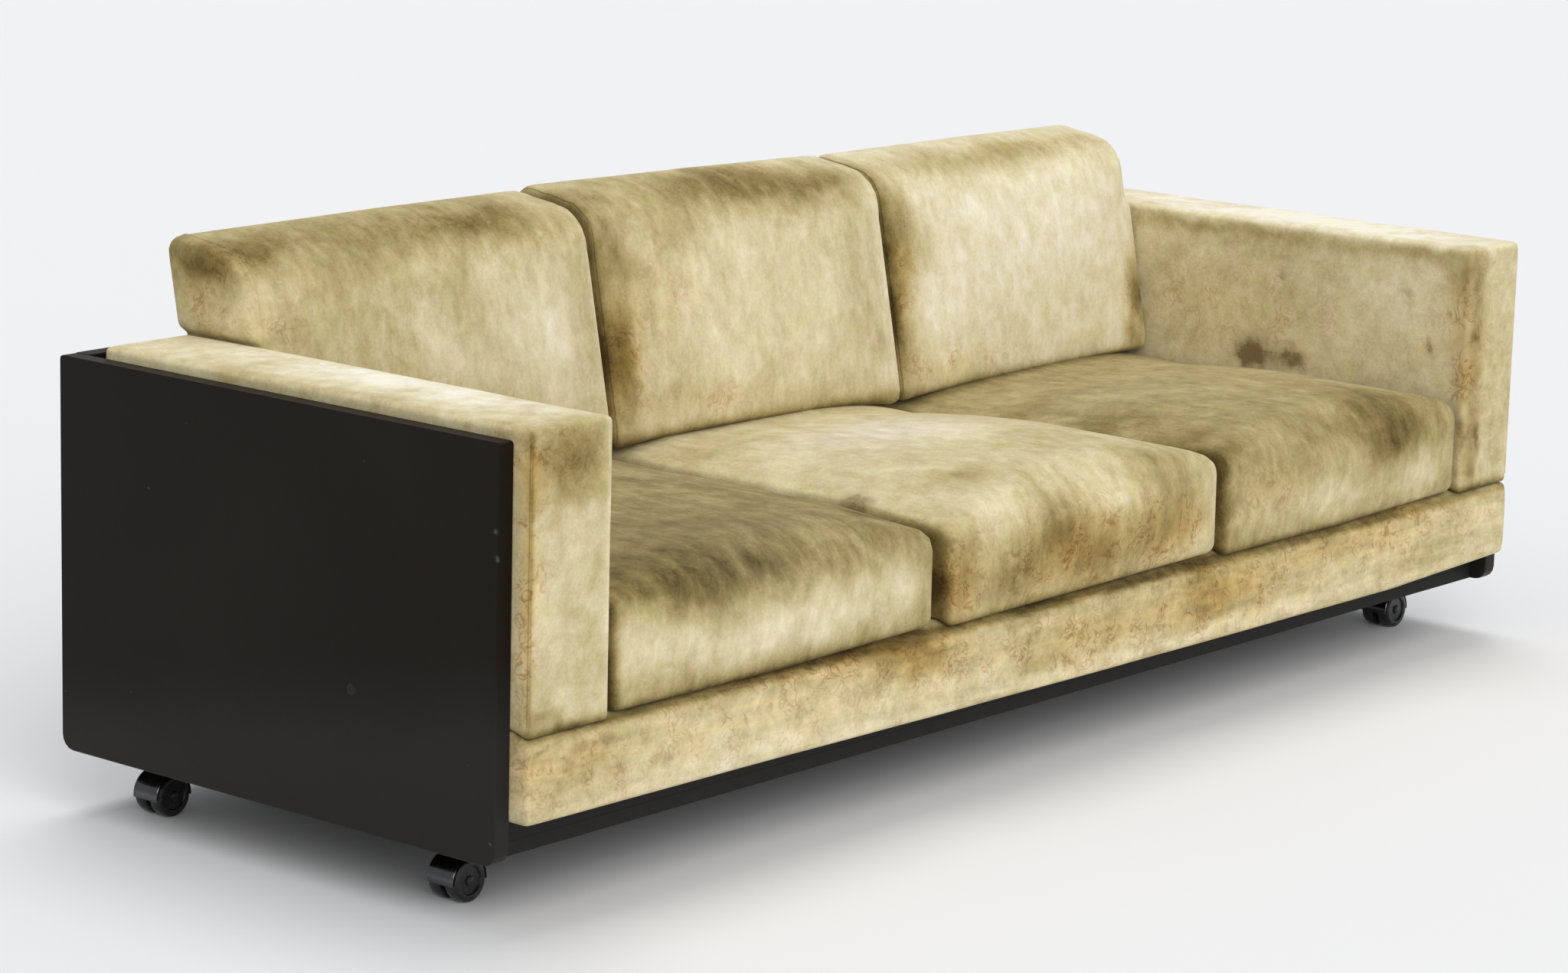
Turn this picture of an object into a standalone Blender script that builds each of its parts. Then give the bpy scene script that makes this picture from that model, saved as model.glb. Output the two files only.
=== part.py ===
"""Three-seater sofa on casters, as an assembly of separate pieces.

Metres, +Z up, +X along the sofa, the front faces -Y. The origin is on the floor, under the middle.
"""

import math

import bmesh
import bpy
from mathutils import Matrix, Vector

# Overall and end panels
LENGTH = 2.250
PANEL_THICKNESS = 0.026
PANEL_DEPTH = 0.780
PANEL_HEIGHT = 0.5215
PANEL_TOP_CORNER = 0.005
PANEL_BOTTOM_CORNER = 0.020
PANEL_EDGE = 0.0015
FRONT_PROJECTION = 0.028

# Base and seat frame
PLINTH_SETBACK = 0.028
BASE_THICKNESS = 0.018
ARM_BOARD_THICKNESS = 0.018
FRAME_RAIL_THICKNESS = 0.025
STRAP_THICKNESS = 0.003
STRAP_WIDTH = 0.080

# Front rail
RAIL_LIFT = 0.0525
RAIL_HEIGHT = 0.113
RAIL_BOARD_THICKNESS = 0.022
RAIL_BOARD_MARGIN = 0.014
RAIL_EDGE = 0.010

# Arms
ARM_WIDTH = 0.145
ARM_HEIGHT = 0.371
ARM_PAD_WALL = 0.022
ARM_REAR_GAP = 0.029
ARM_EDGE = 0.010

# Back rest behind the cushions
BACK_LEAN = 0.20
BACK_BOARD_THICKNESS = 0.015
BACK_BOARD_DROP = 0.012
BACK_TOP_GAP = 0.004
STRUT_WIDTH = 0.030
STRUT_FROM_ARM = 0.104

# Loose cushions
CUSHION_GAP = 0.004
SEAT_THICKNESS = 0.154
SEAT_EDGE = 0.026
SEAT_REAR_CLEARANCE = 0.002
BACK_CUSHION_HEIGHT = 0.345
BACK_CUSHION_THICKNESS = 0.138
BACK_CUSHION_CROWN = 0.020
BACK_CUSHION_EDGE = 0.038

# Panel bolts
BOLT_HEIGHT = 0.1775
BOLT_FROM_FRONT = 0.246
BOLT_HEAD_RADIUS = 0.008
BOLT_HEAD_HEIGHT = 0.005
BOLT_SHANK_RADIUS = 0.004
BOLT_END_COVER = 0.004

# Casters
WHEEL_RADIUS = 0.028
WHEEL_WIDTH = 0.020
WHEEL_SHOULDER = 0.004
WHEEL_HUB_RADIUS = 0.010
WHEEL_BORE_DEPTH = 0.0135
WEB_THICKNESS = 0.008
WEB_BOSS_RADIUS = 0.010
AXLE_RADIUS = 0.003
AXLE_END_GAP = 0.0005
HOOD_CLEARANCE = 0.0015
HOOD_WALL = 0.002
HOOD_SIDE_INSET = 0.002
NECK_RADIUS = 0.009
NECK_HEIGHT = 0.0225
KINGPIN_RADIUS = 0.005
PLATE_SIDE = 0.044
PLATE_THICKNESS = 0.003
CASTER_TRAIL = 0.020
CASTER_FROM_SIDE = 0.079
CASTER_FROM_FRONT = 0.116
CASTER_FROM_BACK = 0.073

# Clearances between touching pieces
FIT_GAP = 0.0003
TURN_GAP = 0.0005
BORE_GAP = 0.0004

# How finely round shapes are stepped
ROUND_STEPS = 24
CORNER_STEPS = 4
SOFT_EDGE_STEPS = 3
HARD_EDGE_STEPS = 1
CROWN_CUTS = 3
SHARP_ANGLE = math.radians(40)
MERGE_DISTANCE = 0.00005

# Heights that follow from the sizes above
AXLE_Z = WHEEL_RADIUS * math.cos(math.pi / ROUND_STEPS)
HOOD_INNER_RADIUS = WHEEL_RADIUS + HOOD_CLEARANCE
HOOD_OUTER_RADIUS = HOOD_INNER_RADIUS + HOOD_WALL
NECK_TOP = AXLE_Z + HOOD_OUTER_RADIUS + NECK_HEIGHT
PLATE_BOTTOM = NECK_TOP + TURN_GAP
BASE_BOTTOM = PLATE_BOTTOM + PLATE_THICKNESS + FIT_GAP
BASE_TOP = BASE_BOTTOM + BASE_THICKNESS
PANEL_TOP = BASE_BOTTOM + PANEL_HEIGHT
RAIL_BOTTOM = BASE_BOTTOM + RAIL_LIFT
DECK = RAIL_BOTTOM + RAIL_HEIGHT
FRAME_TOP = DECK - STRAP_THICKNESS - FIT_GAP
ARM_TOP = DECK + FIT_GAP + ARM_HEIGHT
SEAT_BOTTOM = DECK + FIT_GAP
SEAT_TOP = SEAT_BOTTOM + SEAT_THICKNESS
BACK_BOTTOM = SEAT_TOP + FIT_GAP
BACK_BOARD_TOP = PANEL_TOP - BACK_BOARD_DROP

# Places along the length and the depth that follow from the sizes above
DEPTH = PANEL_DEPTH + FRONT_PROJECTION
FRONT = -DEPTH / 2
REAR = DEPTH / 2
PANEL_FRONT = REAR - PANEL_DEPTH
PANEL_INNER = LENGTH / 2 - PANEL_THICKNESS
FRAME_FRONT = PANEL_FRONT + PLINTH_SETBACK
BACK_PANEL_FRONT = REAR - PANEL_THICKNESS
BOARD_OUTER = PANEL_INNER - FIT_GAP
BOARD_INNER = BOARD_OUTER - ARM_BOARD_THICKNESS
ARM_INNER = BOARD_OUTER - ARM_WIDTH
ARM_REAR = BACK_PANEL_FRONT - ARM_REAR_GAP
FRAME_SIDE = BOARD_INNER - FIT_GAP
CUSHION_WIDTH = (2 * ARM_INNER - 4 * CUSHION_GAP) / 3
CUSHION_PITCH = CUSHION_WIDTH + CUSHION_GAP
STRAP_FROM_MIDDLE = CUSHION_WIDTH / 4
STRUT_INNER_X = CUSHION_PITCH / 2
STRUT_OUTER_X = ARM_INNER - STRUT_FROM_ARM

SIDES = (("left", -1), ("right", 1))
SEATS = (("left", -1), ("middle", 0), ("right", 1))


def clear_scene():
    for old in list(bpy.data.objects):
        bpy.data.objects.remove(old, do_unlink=True)


def new_collection(name):
    collection = bpy.data.collections.new(name)
    bpy.context.scene.collection.children.link(collection)
    return collection


def finish_of(name, colour, roughness, metallic=0.0):
    material = bpy.data.materials.new(name)
    material.use_nodes = True
    shader = material.node_tree.nodes["Principled BSDF"]
    shader.inputs["Base Color"].default_value = (*colour, 1.0)
    shader.inputs["Roughness"].default_value = roughness
    shader.inputs["Metallic"].default_value = metallic
    return material


clear_scene()
SOFA = new_collection("three_seater_sofa")
CUTTERS = new_collection("cutters")
LACQUER = finish_of("black_lacquer", (0.020, 0.018, 0.016), 0.35)
BLACK_PAINT = finish_of("black_paint", (0.025, 0.024, 0.023), 0.6)
VELVET = finish_of("velvet", (0.52, 0.43, 0.24), 0.9)
TIMBER = finish_of("timber", (0.55, 0.40, 0.24), 0.7)
WEBBING = finish_of("webbing", (0.35, 0.28, 0.18), 0.9)
STEEL = finish_of("steel", (0.62, 0.62, 0.63), 0.3, 1.0)
WHEEL_BLACK = finish_of("wheel_black", (0.022, 0.022, 0.023), 0.4)
HOOD_GREY = finish_of("hood_grey", (0.16, 0.16, 0.165), 0.4)


def place(piece, finish):
    """Gives a finished object its material and puts it in the sofa's collection."""
    piece.data.materials.clear()
    piece.data.materials.append(finish)
    for collection in list(piece.users_collection):
        collection.objects.unlink(piece)
    SOFA.objects.link(piece)
    return piece


def plain_box(name, low, high):
    """A box between two corners, with its origin at its middle."""
    low = Vector(low)
    high = Vector(high)
    bpy.ops.mesh.primitive_cube_add(size=1.0, location=(low + high) / 2)
    piece = bpy.context.object
    piece.name = name
    piece.data.name = name
    piece.data.transform(Matrix.Diagonal((*(high - low), 1.0)))
    return piece


def plain_cylinder(name, radius, start, end, steps=ROUND_STEPS):
    """A cylinder between two points, with its origin at its middle."""
    start = Vector(start)
    end = Vector(end)
    bpy.ops.mesh.primitive_cylinder_add(
        vertices=steps, radius=radius, depth=(end - start).length, location=(start + end) / 2
    )
    piece = bpy.context.object
    piece.name = name
    piece.data.name = name
    turn = Vector((0, 0, 1)).rotation_difference(end - start)
    piece.data.transform(turn.to_matrix().to_4x4())
    return piece


def round_edges(piece, radius, segments):
    bevel = piece.modifiers.new("round_edges", "BEVEL")
    bevel.width = radius
    bevel.segments = segments
    bevel.limit_method = "ANGLE"
    bevel.angle_limit = SHARP_ANGLE
    return piece


def combine(piece, others, operation):
    """Adds one exact Boolean for each of the other objects, which become hidden helpers."""
    for other in others:
        step = piece.modifiers.new(other.name, "BOOLEAN")
        step.operation = operation
        step.solver = "EXACT"
        step.object = other
        other.hide_render = True
        other.display_type = "WIRE"
        for collection in list(other.users_collection):
            collection.objects.unlink(other)
        CUTTERS.objects.link(other)
    return piece


def sloped_block(name, x_low, x_high, z_low, z_high, front_at, rear_at):
    """A block whose front and rear faces stand at the depths that two functions of height give."""
    piece = plain_box(name, (x_low, -1, z_low), (x_high, 1, z_high))
    middle = piece.location.copy()
    for vertex in piece.data.vertices:
        height = vertex.co.z + middle.z
        depth_at = front_at if vertex.co.y < 0 else rear_at
        vertex.co.y = depth_at(height) - middle.y
    return piece


def back_rest_front(height):
    top_front = BACK_PANEL_FRONT - FIT_GAP - BACK_TOP_GAP - BACK_BOARD_THICKNESS
    return top_front - BACK_LEAN * (BACK_BOARD_TOP - height)


def back_rest_rear(height):
    return back_rest_front(height) + BACK_BOARD_THICKNESS


SEAT_REAR = back_rest_front(DECK)


def end_panel(side, sign):
    """A lacquered board with small upper corners, rounder lower corners and a counterbored hole."""
    outer = sign * LENGTH / 2
    inner = sign * PANEL_INNER
    low = (min(outer, inner), PANEL_FRONT, BASE_BOTTOM)
    high = (max(outer, inner), REAR, PANEL_TOP)
    panel = plain_box(f"{side}_end_panel", low, high)
    shape = bmesh.new()
    shape.from_mesh(panel.data)
    for radius, upward in ((PANEL_TOP_CORNER, 1), (PANEL_BOTTOM_CORNER, -1)):
        corners = []
        for edge in shape.edges:
            first, second = edge.verts
            along_x = abs(first.co.x - second.co.x) > PANEL_THICKNESS / 2
            if along_x and first.co.z * upward > PANEL_HEIGHT / 4:
                corners.append(edge)
        bmesh.ops.bevel(
            shape, geom=corners, offset=radius, segments=CORNER_STEPS, profile=0.5, affect="EDGES"
        )
    shape.to_mesh(panel.data)
    shape.free()
    round_edges(panel, PANEL_EDGE, HARD_EDGE_STEPS)
    combine(panel, [head_hole(side, sign), shank_hole(side, sign, "panel")], "DIFFERENCE")
    place(panel, LACQUER)


def bolt_line(sign):
    """The bolt's place on the end panel's outer face, and the direction into the sofa."""
    mouth = Vector((sign * LENGTH / 2, PANEL_FRONT + BOLT_FROM_FRONT, BASE_BOTTOM + BOLT_HEIGHT))
    return mouth, Vector((-sign, 0, 0))


BOLT_LENGTH = PANEL_THICKNESS + FIT_GAP + ARM_BOARD_THICKNESS - BOLT_END_COVER
BOLT_SUNK = FIT_GAP
HEAD_HOLE_DEPTH = BOLT_SUNK + BOLT_HEAD_HEIGHT + FIT_GAP


def head_hole(side, sign):
    mouth, inward = bolt_line(sign)
    return plain_cylinder(
        f"{side}_head_hole",
        BOLT_HEAD_RADIUS + BORE_GAP,
        mouth - inward * PANEL_EDGE,
        mouth + inward * HEAD_HOLE_DEPTH,
    )


def shank_hole(side, sign, used_on):
    mouth, inward = bolt_line(sign)
    return plain_cylinder(
        f"{side}_{used_on}_shank_hole",
        BOLT_SHANK_RADIUS + BORE_GAP,
        mouth + inward * (HEAD_HOLE_DEPTH - PANEL_EDGE),
        mouth + inward * (BOLT_LENGTH + FIT_GAP),
    )


def panel_bolt(side, sign):
    mouth, inward = bolt_line(sign)
    head = plain_cylinder(
        f"{side}_panel_bolt",
        BOLT_HEAD_RADIUS,
        mouth + inward * BOLT_SUNK,
        mouth + inward * (BOLT_SUNK + BOLT_HEAD_HEIGHT),
    )
    shank = plain_cylinder(
        f"{side}_panel_bolt_shank",
        BOLT_SHANK_RADIUS,
        mouth + inward * (BOLT_SUNK + BOLT_HEAD_HEIGHT / 2),
        mouth + inward * BOLT_LENGTH,
    )
    combine(head, [shank], "UNION")
    place(head, STEEL)


def back_panel():
    panel = plain_box(
        "back_panel",
        (-PANEL_INNER + FIT_GAP, BACK_PANEL_FRONT, BASE_BOTTOM),
        (PANEL_INNER - FIT_GAP, REAR, PANEL_TOP),
    )
    round_edges(panel, PANEL_EDGE, HARD_EDGE_STEPS)
    place(panel, LACQUER)


def base_board():
    board = plain_box(
        "base_board",
        (-BOARD_OUTER, FRAME_FRONT, BASE_BOTTOM),
        (BOARD_OUTER, BACK_PANEL_FRONT - FIT_GAP, BASE_TOP),
    )
    place(board, BLACK_PAINT)


def arm_board(side, sign):
    """The full-height plywood that stands on the base inside an end panel."""
    xs = sorted((sign * BOARD_INNER, sign * BOARD_OUTER))
    board = plain_box(
        f"{side}_arm_board",
        (xs[0], FRAME_FRONT, BASE_TOP + FIT_GAP),
        (xs[1], ARM_REAR - ARM_PAD_WALL, ARM_TOP - ARM_PAD_WALL),
    )
    combine(board, [shank_hole(side, sign, "arm_board")], "DIFFERENCE")
    place(board, BLACK_PAINT)


def arm_pad(side, sign):
    """Foam and velvet over the arm board, open towards the end panel and at the board's foot."""
    xs = sorted((sign * ARM_INNER, sign * BOARD_OUTER))
    pad = plain_box(
        f"{side}_arm_pad", (xs[0], FRONT, DECK + FIT_GAP), (xs[1], ARM_REAR, ARM_TOP)
    )
    round_edges(pad, ARM_EDGE, SOFT_EDGE_STEPS)
    recess_xs = sorted((sign * (BOARD_INNER - FIT_GAP), sign * LENGTH / 2))
    recess = plain_box(
        f"{side}_arm_recess",
        (recess_xs[0], FRAME_FRONT - FIT_GAP, BASE_TOP),
        (recess_xs[1], ARM_REAR - ARM_PAD_WALL + FIT_GAP, ARM_TOP - ARM_PAD_WALL + FIT_GAP),
    )
    combine(pad, [recess], "DIFFERENCE")
    place(pad, VELVET)


def front_rail():
    """The velvet-covered rail under the seat, and the timber board inside it."""
    back = FRAME_FRONT - FIT_GAP
    board_low = Vector(
        (-BOARD_OUTER + RAIL_BOARD_MARGIN, back - RAIL_BOARD_THICKNESS, RAIL_BOTTOM + RAIL_BOARD_MARGIN)
    )
    board_high = Vector((BOARD_OUTER - RAIL_BOARD_MARGIN, back, DECK - RAIL_BOARD_MARGIN))
    place(plain_box("front_rail_board", board_low, board_high), TIMBER)
    pad = plain_box("front_rail_pad", (-BOARD_OUTER, FRONT, RAIL_BOTTOM), (BOARD_OUTER, back, DECK))
    round_edges(pad, RAIL_EDGE, SOFT_EDGE_STEPS)
    margin = Vector((FIT_GAP, FIT_GAP, FIT_GAP))
    past_the_back = Vector((0, RAIL_EDGE, 0))
    recess = plain_box("front_rail_recess", board_low - margin, board_high + margin + past_the_back)
    combine(pad, [recess], "DIFFERENCE")
    place(pad, VELVET)


def seat_frame():
    """Rails that stand on the base board and carry the webbing and the arms."""
    low = BASE_TOP + FIT_GAP
    front_rear = FRAME_FRONT + FRAME_RAIL_THICKNESS
    rear_rail = plain_box(
        "seat_rear_rail",
        (-FRAME_SIDE, SEAT_REAR, low),
        (FRAME_SIDE, SEAT_REAR + FRAME_RAIL_THICKNESS, FRAME_TOP),
    )
    front_rail_piece = plain_box(
        "seat_front_rail", (-FRAME_SIDE, FRAME_FRONT, low), (FRAME_SIDE, front_rear, FRAME_TOP)
    )
    place(rear_rail, TIMBER)
    place(front_rail_piece, BLACK_PAINT)
    between = (front_rear + FIT_GAP, SEAT_REAR - FIT_GAP)
    for side, sign in SIDES:
        xs = sorted((sign * FRAME_SIDE, sign * (FRAME_SIDE - FRAME_RAIL_THICKNESS)))
        side_rail = plain_box(
            f"seat_{side}_rail", (xs[0], between[0], low), (xs[1], between[1], DECK)
        )
        place(side_rail, TIMBER)
        middle = sign * CUSHION_PITCH / 2
        half = FRAME_RAIL_THICKNESS / 2
        cross_rail = plain_box(
            f"seat_{side}_cross_rail",
            (middle - half, between[0], low),
            (middle + half, between[1], FRAME_TOP),
        )
        place(cross_rail, TIMBER)


def webbing():
    """Two elastic straps under each seat, from the front rail to the rear rail."""
    for seat, row in SEATS:
        for side, sign in SIDES:
            middle = row * CUSHION_PITCH + sign * STRAP_FROM_MIDDLE
            strap = plain_box(
                f"{seat}_seat_{side}_strap",
                (middle - STRAP_WIDTH / 2, FRAME_FRONT, FRAME_TOP + FIT_GAP),
                (
                    middle + STRAP_WIDTH / 2,
                    SEAT_REAR + FRAME_RAIL_THICKNESS,
                    FRAME_TOP + FIT_GAP + STRAP_THICKNESS,
                ),
            )
            place(strap, WEBBING)


def back_rest():
    """The sloping board behind the back cushions and the struts that hold it off the back panel."""
    low = DECK + FIT_GAP
    board = sloped_block(
        "back_rest_board",
        -ARM_INNER + FIT_GAP,
        ARM_INNER - FIT_GAP,
        low,
        BACK_BOARD_TOP,
        back_rest_front,
        back_rest_rear,
    )
    place(board, VELVET)
    for side, sign in SIDES:
        for place_name, middle in (("inner", STRUT_INNER_X), ("outer", STRUT_OUTER_X)):
            strut = sloped_block(
                f"back_strut_{side}_{place_name}",
                sign * middle - STRUT_WIDTH / 2,
                sign * middle + STRUT_WIDTH / 2,
                low,
                BACK_BOARD_TOP,
                lambda height: back_rest_rear(height) + FIT_GAP,
                lambda height: BACK_PANEL_FRONT - FIT_GAP,
            )
            place(strut, TIMBER)


def seat_cushion(seat, row):
    middle = row * CUSHION_PITCH
    half = CUSHION_WIDTH / 2
    cushion = plain_box(
        f"{seat}_seat_cushion",
        (middle - half, FRONT, SEAT_BOTTOM),
        (middle + half, SEAT_REAR - SEAT_REAR_CLEARANCE, SEAT_TOP),
    )
    round_edges(cushion, SEAT_EDGE, SOFT_EDGE_STEPS)
    place(cushion, VELVET)


def back_cushion(seat, row):
    """A cushion that leans on the back rest board, with a crowned front."""
    middle = row * CUSHION_PITCH
    half = CUSHION_WIDTH / 2
    cushion = sloped_block(
        f"{seat}_back_cushion",
        middle - half,
        middle + half,
        BACK_BOTTOM,
        BACK_BOTTOM + BACK_CUSHION_HEIGHT,
        lambda height: back_rest_front(height) - TURN_GAP - BACK_CUSHION_THICKNESS,
        lambda height: back_rest_front(height) - TURN_GAP,
    )
    shape = bmesh.new()
    shape.from_mesh(cushion.data)
    bmesh.ops.subdivide_edges(shape, edges=shape.edges[:], cuts=CROWN_CUTS, use_grid_fill=True)
    for vertex in shape.verts:
        across = vertex.co.x / half
        up = vertex.co.z / (BACK_CUSHION_HEIGHT / 2)
        lean_here = BACK_LEAN * vertex.co.z
        if vertex.co.y - lean_here < 0:
            vertex.co.y -= BACK_CUSHION_CROWN * (1 - across**2) * (1 - up**2)
    shape.to_mesh(cushion.data)
    shape.free()
    round_edges(cushion, BACK_CUSHION_EDGE, SOFT_EDGE_STEPS)
    place(cushion, VELVET)


def evaluated_copy(piece, name):
    """The mesh of an object with its modifiers applied, around the object's own origin."""
    bpy.context.view_layer.update()
    graph = bpy.context.evaluated_depsgraph_get()
    mesh = bpy.data.meshes.new_from_object(piece.evaluated_get(graph))
    mesh.name = name
    return mesh


def hood_mesh():
    """Hood, web, neck and kingpin of a caster in one piece, with the swivel axis as local Z."""
    axle = Vector((CASTER_TRAIL, 0, AXLE_Z))
    inner_face = WEB_THICKNESS / 2
    half_width = inner_face + TURN_GAP + WHEEL_WIDTH - HOOD_SIDE_INSET
    across = Vector((0, half_width, 0))
    hood = plain_cylinder("hood", HOOD_OUTER_RADIUS, axle - across, axle + across, 2 * ROUND_STEPS)
    neck = plain_cylinder("neck", NECK_RADIUS, (0, 0, AXLE_Z), (0, 0, NECK_TOP))
    kingpin = plain_cylinder(
        "kingpin", KINGPIN_RADIUS, (0, 0, AXLE_Z), (0, 0, PLATE_BOTTOM + PLATE_THICKNESS)
    )
    below = plain_box(
        "below",
        axle + Vector((-1, -1, -1)) * 3 * HOOD_OUTER_RADIUS,
        axle + Vector((3 * HOOD_OUTER_RADIUS, 3 * HOOD_OUTER_RADIUS, 0)),
    )
    rooms = []
    for name, sign in (("first", -1), ("second", 1)):
        start = axle + Vector((0, sign * inner_face, 0))
        end = axle + Vector((0, sign * 2 * half_width, 0))
        room = plain_cylinder(f"{name}_room", HOOD_INNER_RADIUS, start, end, 2 * ROUND_STEPS)
        rooms.append(room)
    web = Vector((0, inner_face, 0))
    boss = plain_cylinder("boss", WEB_BOSS_RADIUS, axle - web, axle + web)
    bore = plain_cylinder("bore", AXLE_RADIUS + BORE_GAP, axle - across * 2, axle + across * 2)
    combine(hood, [neck, kingpin], "UNION")
    combine(hood, [below], "DIFFERENCE")
    combine(hood, rooms, "DIFFERENCE")
    combine(hood, [boss], "UNION")
    combine(hood, [bore], "DIFFERENCE")
    mesh = evaluated_copy(hood, "caster_hood")
    mesh.transform(Matrix.Translation(axle))
    for helper in (hood, neck, kingpin, below, *rooms, boss, bore):
        bpy.data.objects.remove(helper, do_unlink=True)
    return mesh


def plate_mesh():
    """The square top plate of a caster with the kingpin's hole, with the swivel axis as local Z."""
    half = PLATE_SIDE / 2
    top = PLATE_BOTTOM + PLATE_THICKNESS
    plate = plain_box("plate", (-half, -half, PLATE_BOTTOM), (half, half, top))
    hole = plain_cylinder(
        "hole", KINGPIN_RADIUS + BORE_GAP, (0, 0, PLATE_BOTTOM - HOOD_WALL), (0, 0, top + HOOD_WALL)
    )
    middle = plate.location.copy()
    combine(plate, [hole], "DIFFERENCE")
    mesh = evaluated_copy(plate, "caster_plate")
    mesh.transform(Matrix.Translation(middle))
    for helper in (plate, hole):
        bpy.data.objects.remove(helper, do_unlink=True)
    return mesh


def wheel_mesh():
    """A turned wheel around local Y, its inner face at 0, with a blind bore for the axle."""
    bore = AXLE_RADIUS + BORE_GAP
    outline = (
        (0, WHEEL_BORE_DEPTH),
        (bore, WHEEL_BORE_DEPTH),
        (bore, 0),
        (WHEEL_RADIUS - WHEEL_SHOULDER / 2, 0),
        (WHEEL_RADIUS, WHEEL_SHOULDER / 2),
        (WHEEL_RADIUS, WHEEL_WIDTH - 2 * WHEEL_SHOULDER),
        (WHEEL_RADIUS - WHEEL_SHOULDER, WHEEL_WIDTH - WHEEL_SHOULDER / 2),
        (WHEEL_HUB_RADIUS, WHEEL_WIDTH),
        (0, WHEEL_WIDTH),
    )
    profile = bpy.data.meshes.new("wheel_profile")
    edges = [(i, i + 1) for i in range(len(outline) - 1)]
    profile.from_pydata([(radius, along, 0) for radius, along in outline], edges, [])
    turned = bpy.data.objects.new("wheel_profile", profile)
    CUTTERS.objects.link(turned)
    screw = turned.modifiers.new("turn", "SCREW")
    screw.axis = "Y"
    screw.steps = ROUND_STEPS
    screw.render_steps = ROUND_STEPS
    screw.use_merge_vertices = True
    screw.merge_threshold = MERGE_DISTANCE
    mesh = evaluated_copy(turned, "caster_wheel")
    bpy.data.objects.remove(turned, do_unlink=True)
    shape = bmesh.new()
    shape.from_mesh(mesh)
    half_step = Matrix.Rotation(math.pi / ROUND_STEPS, 4, "Y")
    bmesh.ops.transform(shape, matrix=half_step, verts=shape.verts)
    bmesh.ops.recalc_face_normals(shape, faces=shape.faces)
    shape.to_mesh(mesh)
    shape.free()
    return mesh


def caster(name, place_xy, outward):
    """One caster: a fixed plate, and a swivelling hood with its axle and two wheels."""
    swivel = bpy.data.objects.new(f"{name}_caster_swivel", None)
    swivel.location = (*place_xy, 0)
    swivel.rotation_euler.z = 0 if outward > 0 else math.pi
    SOFA.objects.link(swivel)

    def add(part, mesh, finish, at=(0, 0, 0), turn=0.0):
        piece = bpy.data.objects.new(f"{name}_caster_{part}", mesh.copy())
        piece.parent = swivel
        piece.location = at
        piece.rotation_euler.z = turn
        SOFA.objects.link(piece)
        place(piece, finish)

    add("plate", PLATE_MESH, STEEL)
    add("hood", HOOD_MESH, HOOD_GREY)
    wheel_face = WEB_THICKNESS / 2 + TURN_GAP
    axle_half = wheel_face + WHEEL_BORE_DEPTH - AXLE_END_GAP
    axle = plain_cylinder("axle", AXLE_RADIUS, (0, -axle_half, 0), (0, axle_half, 0))
    add("axle", axle.data, STEEL, (CASTER_TRAIL, 0, AXLE_Z))
    bpy.data.objects.remove(axle, do_unlink=True)
    for where, to_rear in (("front", -1), ("rear", 1)):
        local_side = to_rear * outward
        at = (CASTER_TRAIL, local_side * wheel_face, AXLE_Z)
        add(f"{where}_wheel", WHEEL_MESH, WHEEL_BLACK, at, 0.0 if local_side > 0 else math.pi)


back_panel()
base_board()
front_rail()
seat_frame()
webbing()
back_rest()
for side_name, side_sign in SIDES:
    end_panel(side_name, side_sign)
    panel_bolt(side_name, side_sign)
    arm_board(side_name, side_sign)
    arm_pad(side_name, side_sign)
for seat_name, seat_row in SEATS:
    seat_cushion(seat_name, seat_row)
    back_cushion(seat_name, seat_row)

HOOD_MESH = hood_mesh()
PLATE_MESH = plate_mesh()
WHEEL_MESH = wheel_mesh()
for side_name, side_sign in SIDES:
    stem_x = side_sign * (PANEL_INNER - CASTER_FROM_SIDE)
    caster(f"front_{side_name}", (stem_x, FRAME_FRONT + CASTER_FROM_FRONT), side_sign)
    caster(f"rear_{side_name}", (stem_x, BACK_PANEL_FRONT - CASTER_FROM_BACK), side_sign)
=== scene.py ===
"""The looks of a three-seater sofa on casters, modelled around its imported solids.

Metres, +Z up, +X along the sofa, and the front faces -Y, as in the solids' own frame.
"""

import math

import bpy
import numpy as np
from mathutils import Matrix, Vector, noise


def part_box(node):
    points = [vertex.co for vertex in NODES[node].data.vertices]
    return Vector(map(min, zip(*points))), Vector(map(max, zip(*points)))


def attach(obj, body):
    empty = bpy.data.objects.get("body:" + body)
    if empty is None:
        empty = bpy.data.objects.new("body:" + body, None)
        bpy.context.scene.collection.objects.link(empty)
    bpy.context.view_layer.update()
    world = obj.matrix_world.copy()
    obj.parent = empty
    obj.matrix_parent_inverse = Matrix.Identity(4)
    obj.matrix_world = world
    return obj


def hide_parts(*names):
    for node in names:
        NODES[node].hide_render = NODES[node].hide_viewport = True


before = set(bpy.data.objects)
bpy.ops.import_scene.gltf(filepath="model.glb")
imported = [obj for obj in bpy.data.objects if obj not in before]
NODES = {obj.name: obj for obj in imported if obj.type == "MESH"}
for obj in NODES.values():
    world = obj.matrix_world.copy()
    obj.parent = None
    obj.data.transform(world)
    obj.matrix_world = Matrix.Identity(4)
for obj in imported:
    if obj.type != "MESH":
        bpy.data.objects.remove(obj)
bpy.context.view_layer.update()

SIDES = {"left": -1, "right": 1}
SEATS = ("left", "middle", "right")
CASTERS = ("front_left", "rear_left", "front_right", "rear_right")

# Camera, in a 2048 by 1271 frame
FRAME_WIDTH = 2048
FOCAL_PIXELS = 6053.7
CAMERA_PLACE = Vector((-4.9972, -4.0715, 1.6867))
CAMERA_YAW = math.radians(49.937)
CAMERA_PITCH = math.radians(11.866)
CAMERA_ROLL = math.radians(-1.47)

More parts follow.
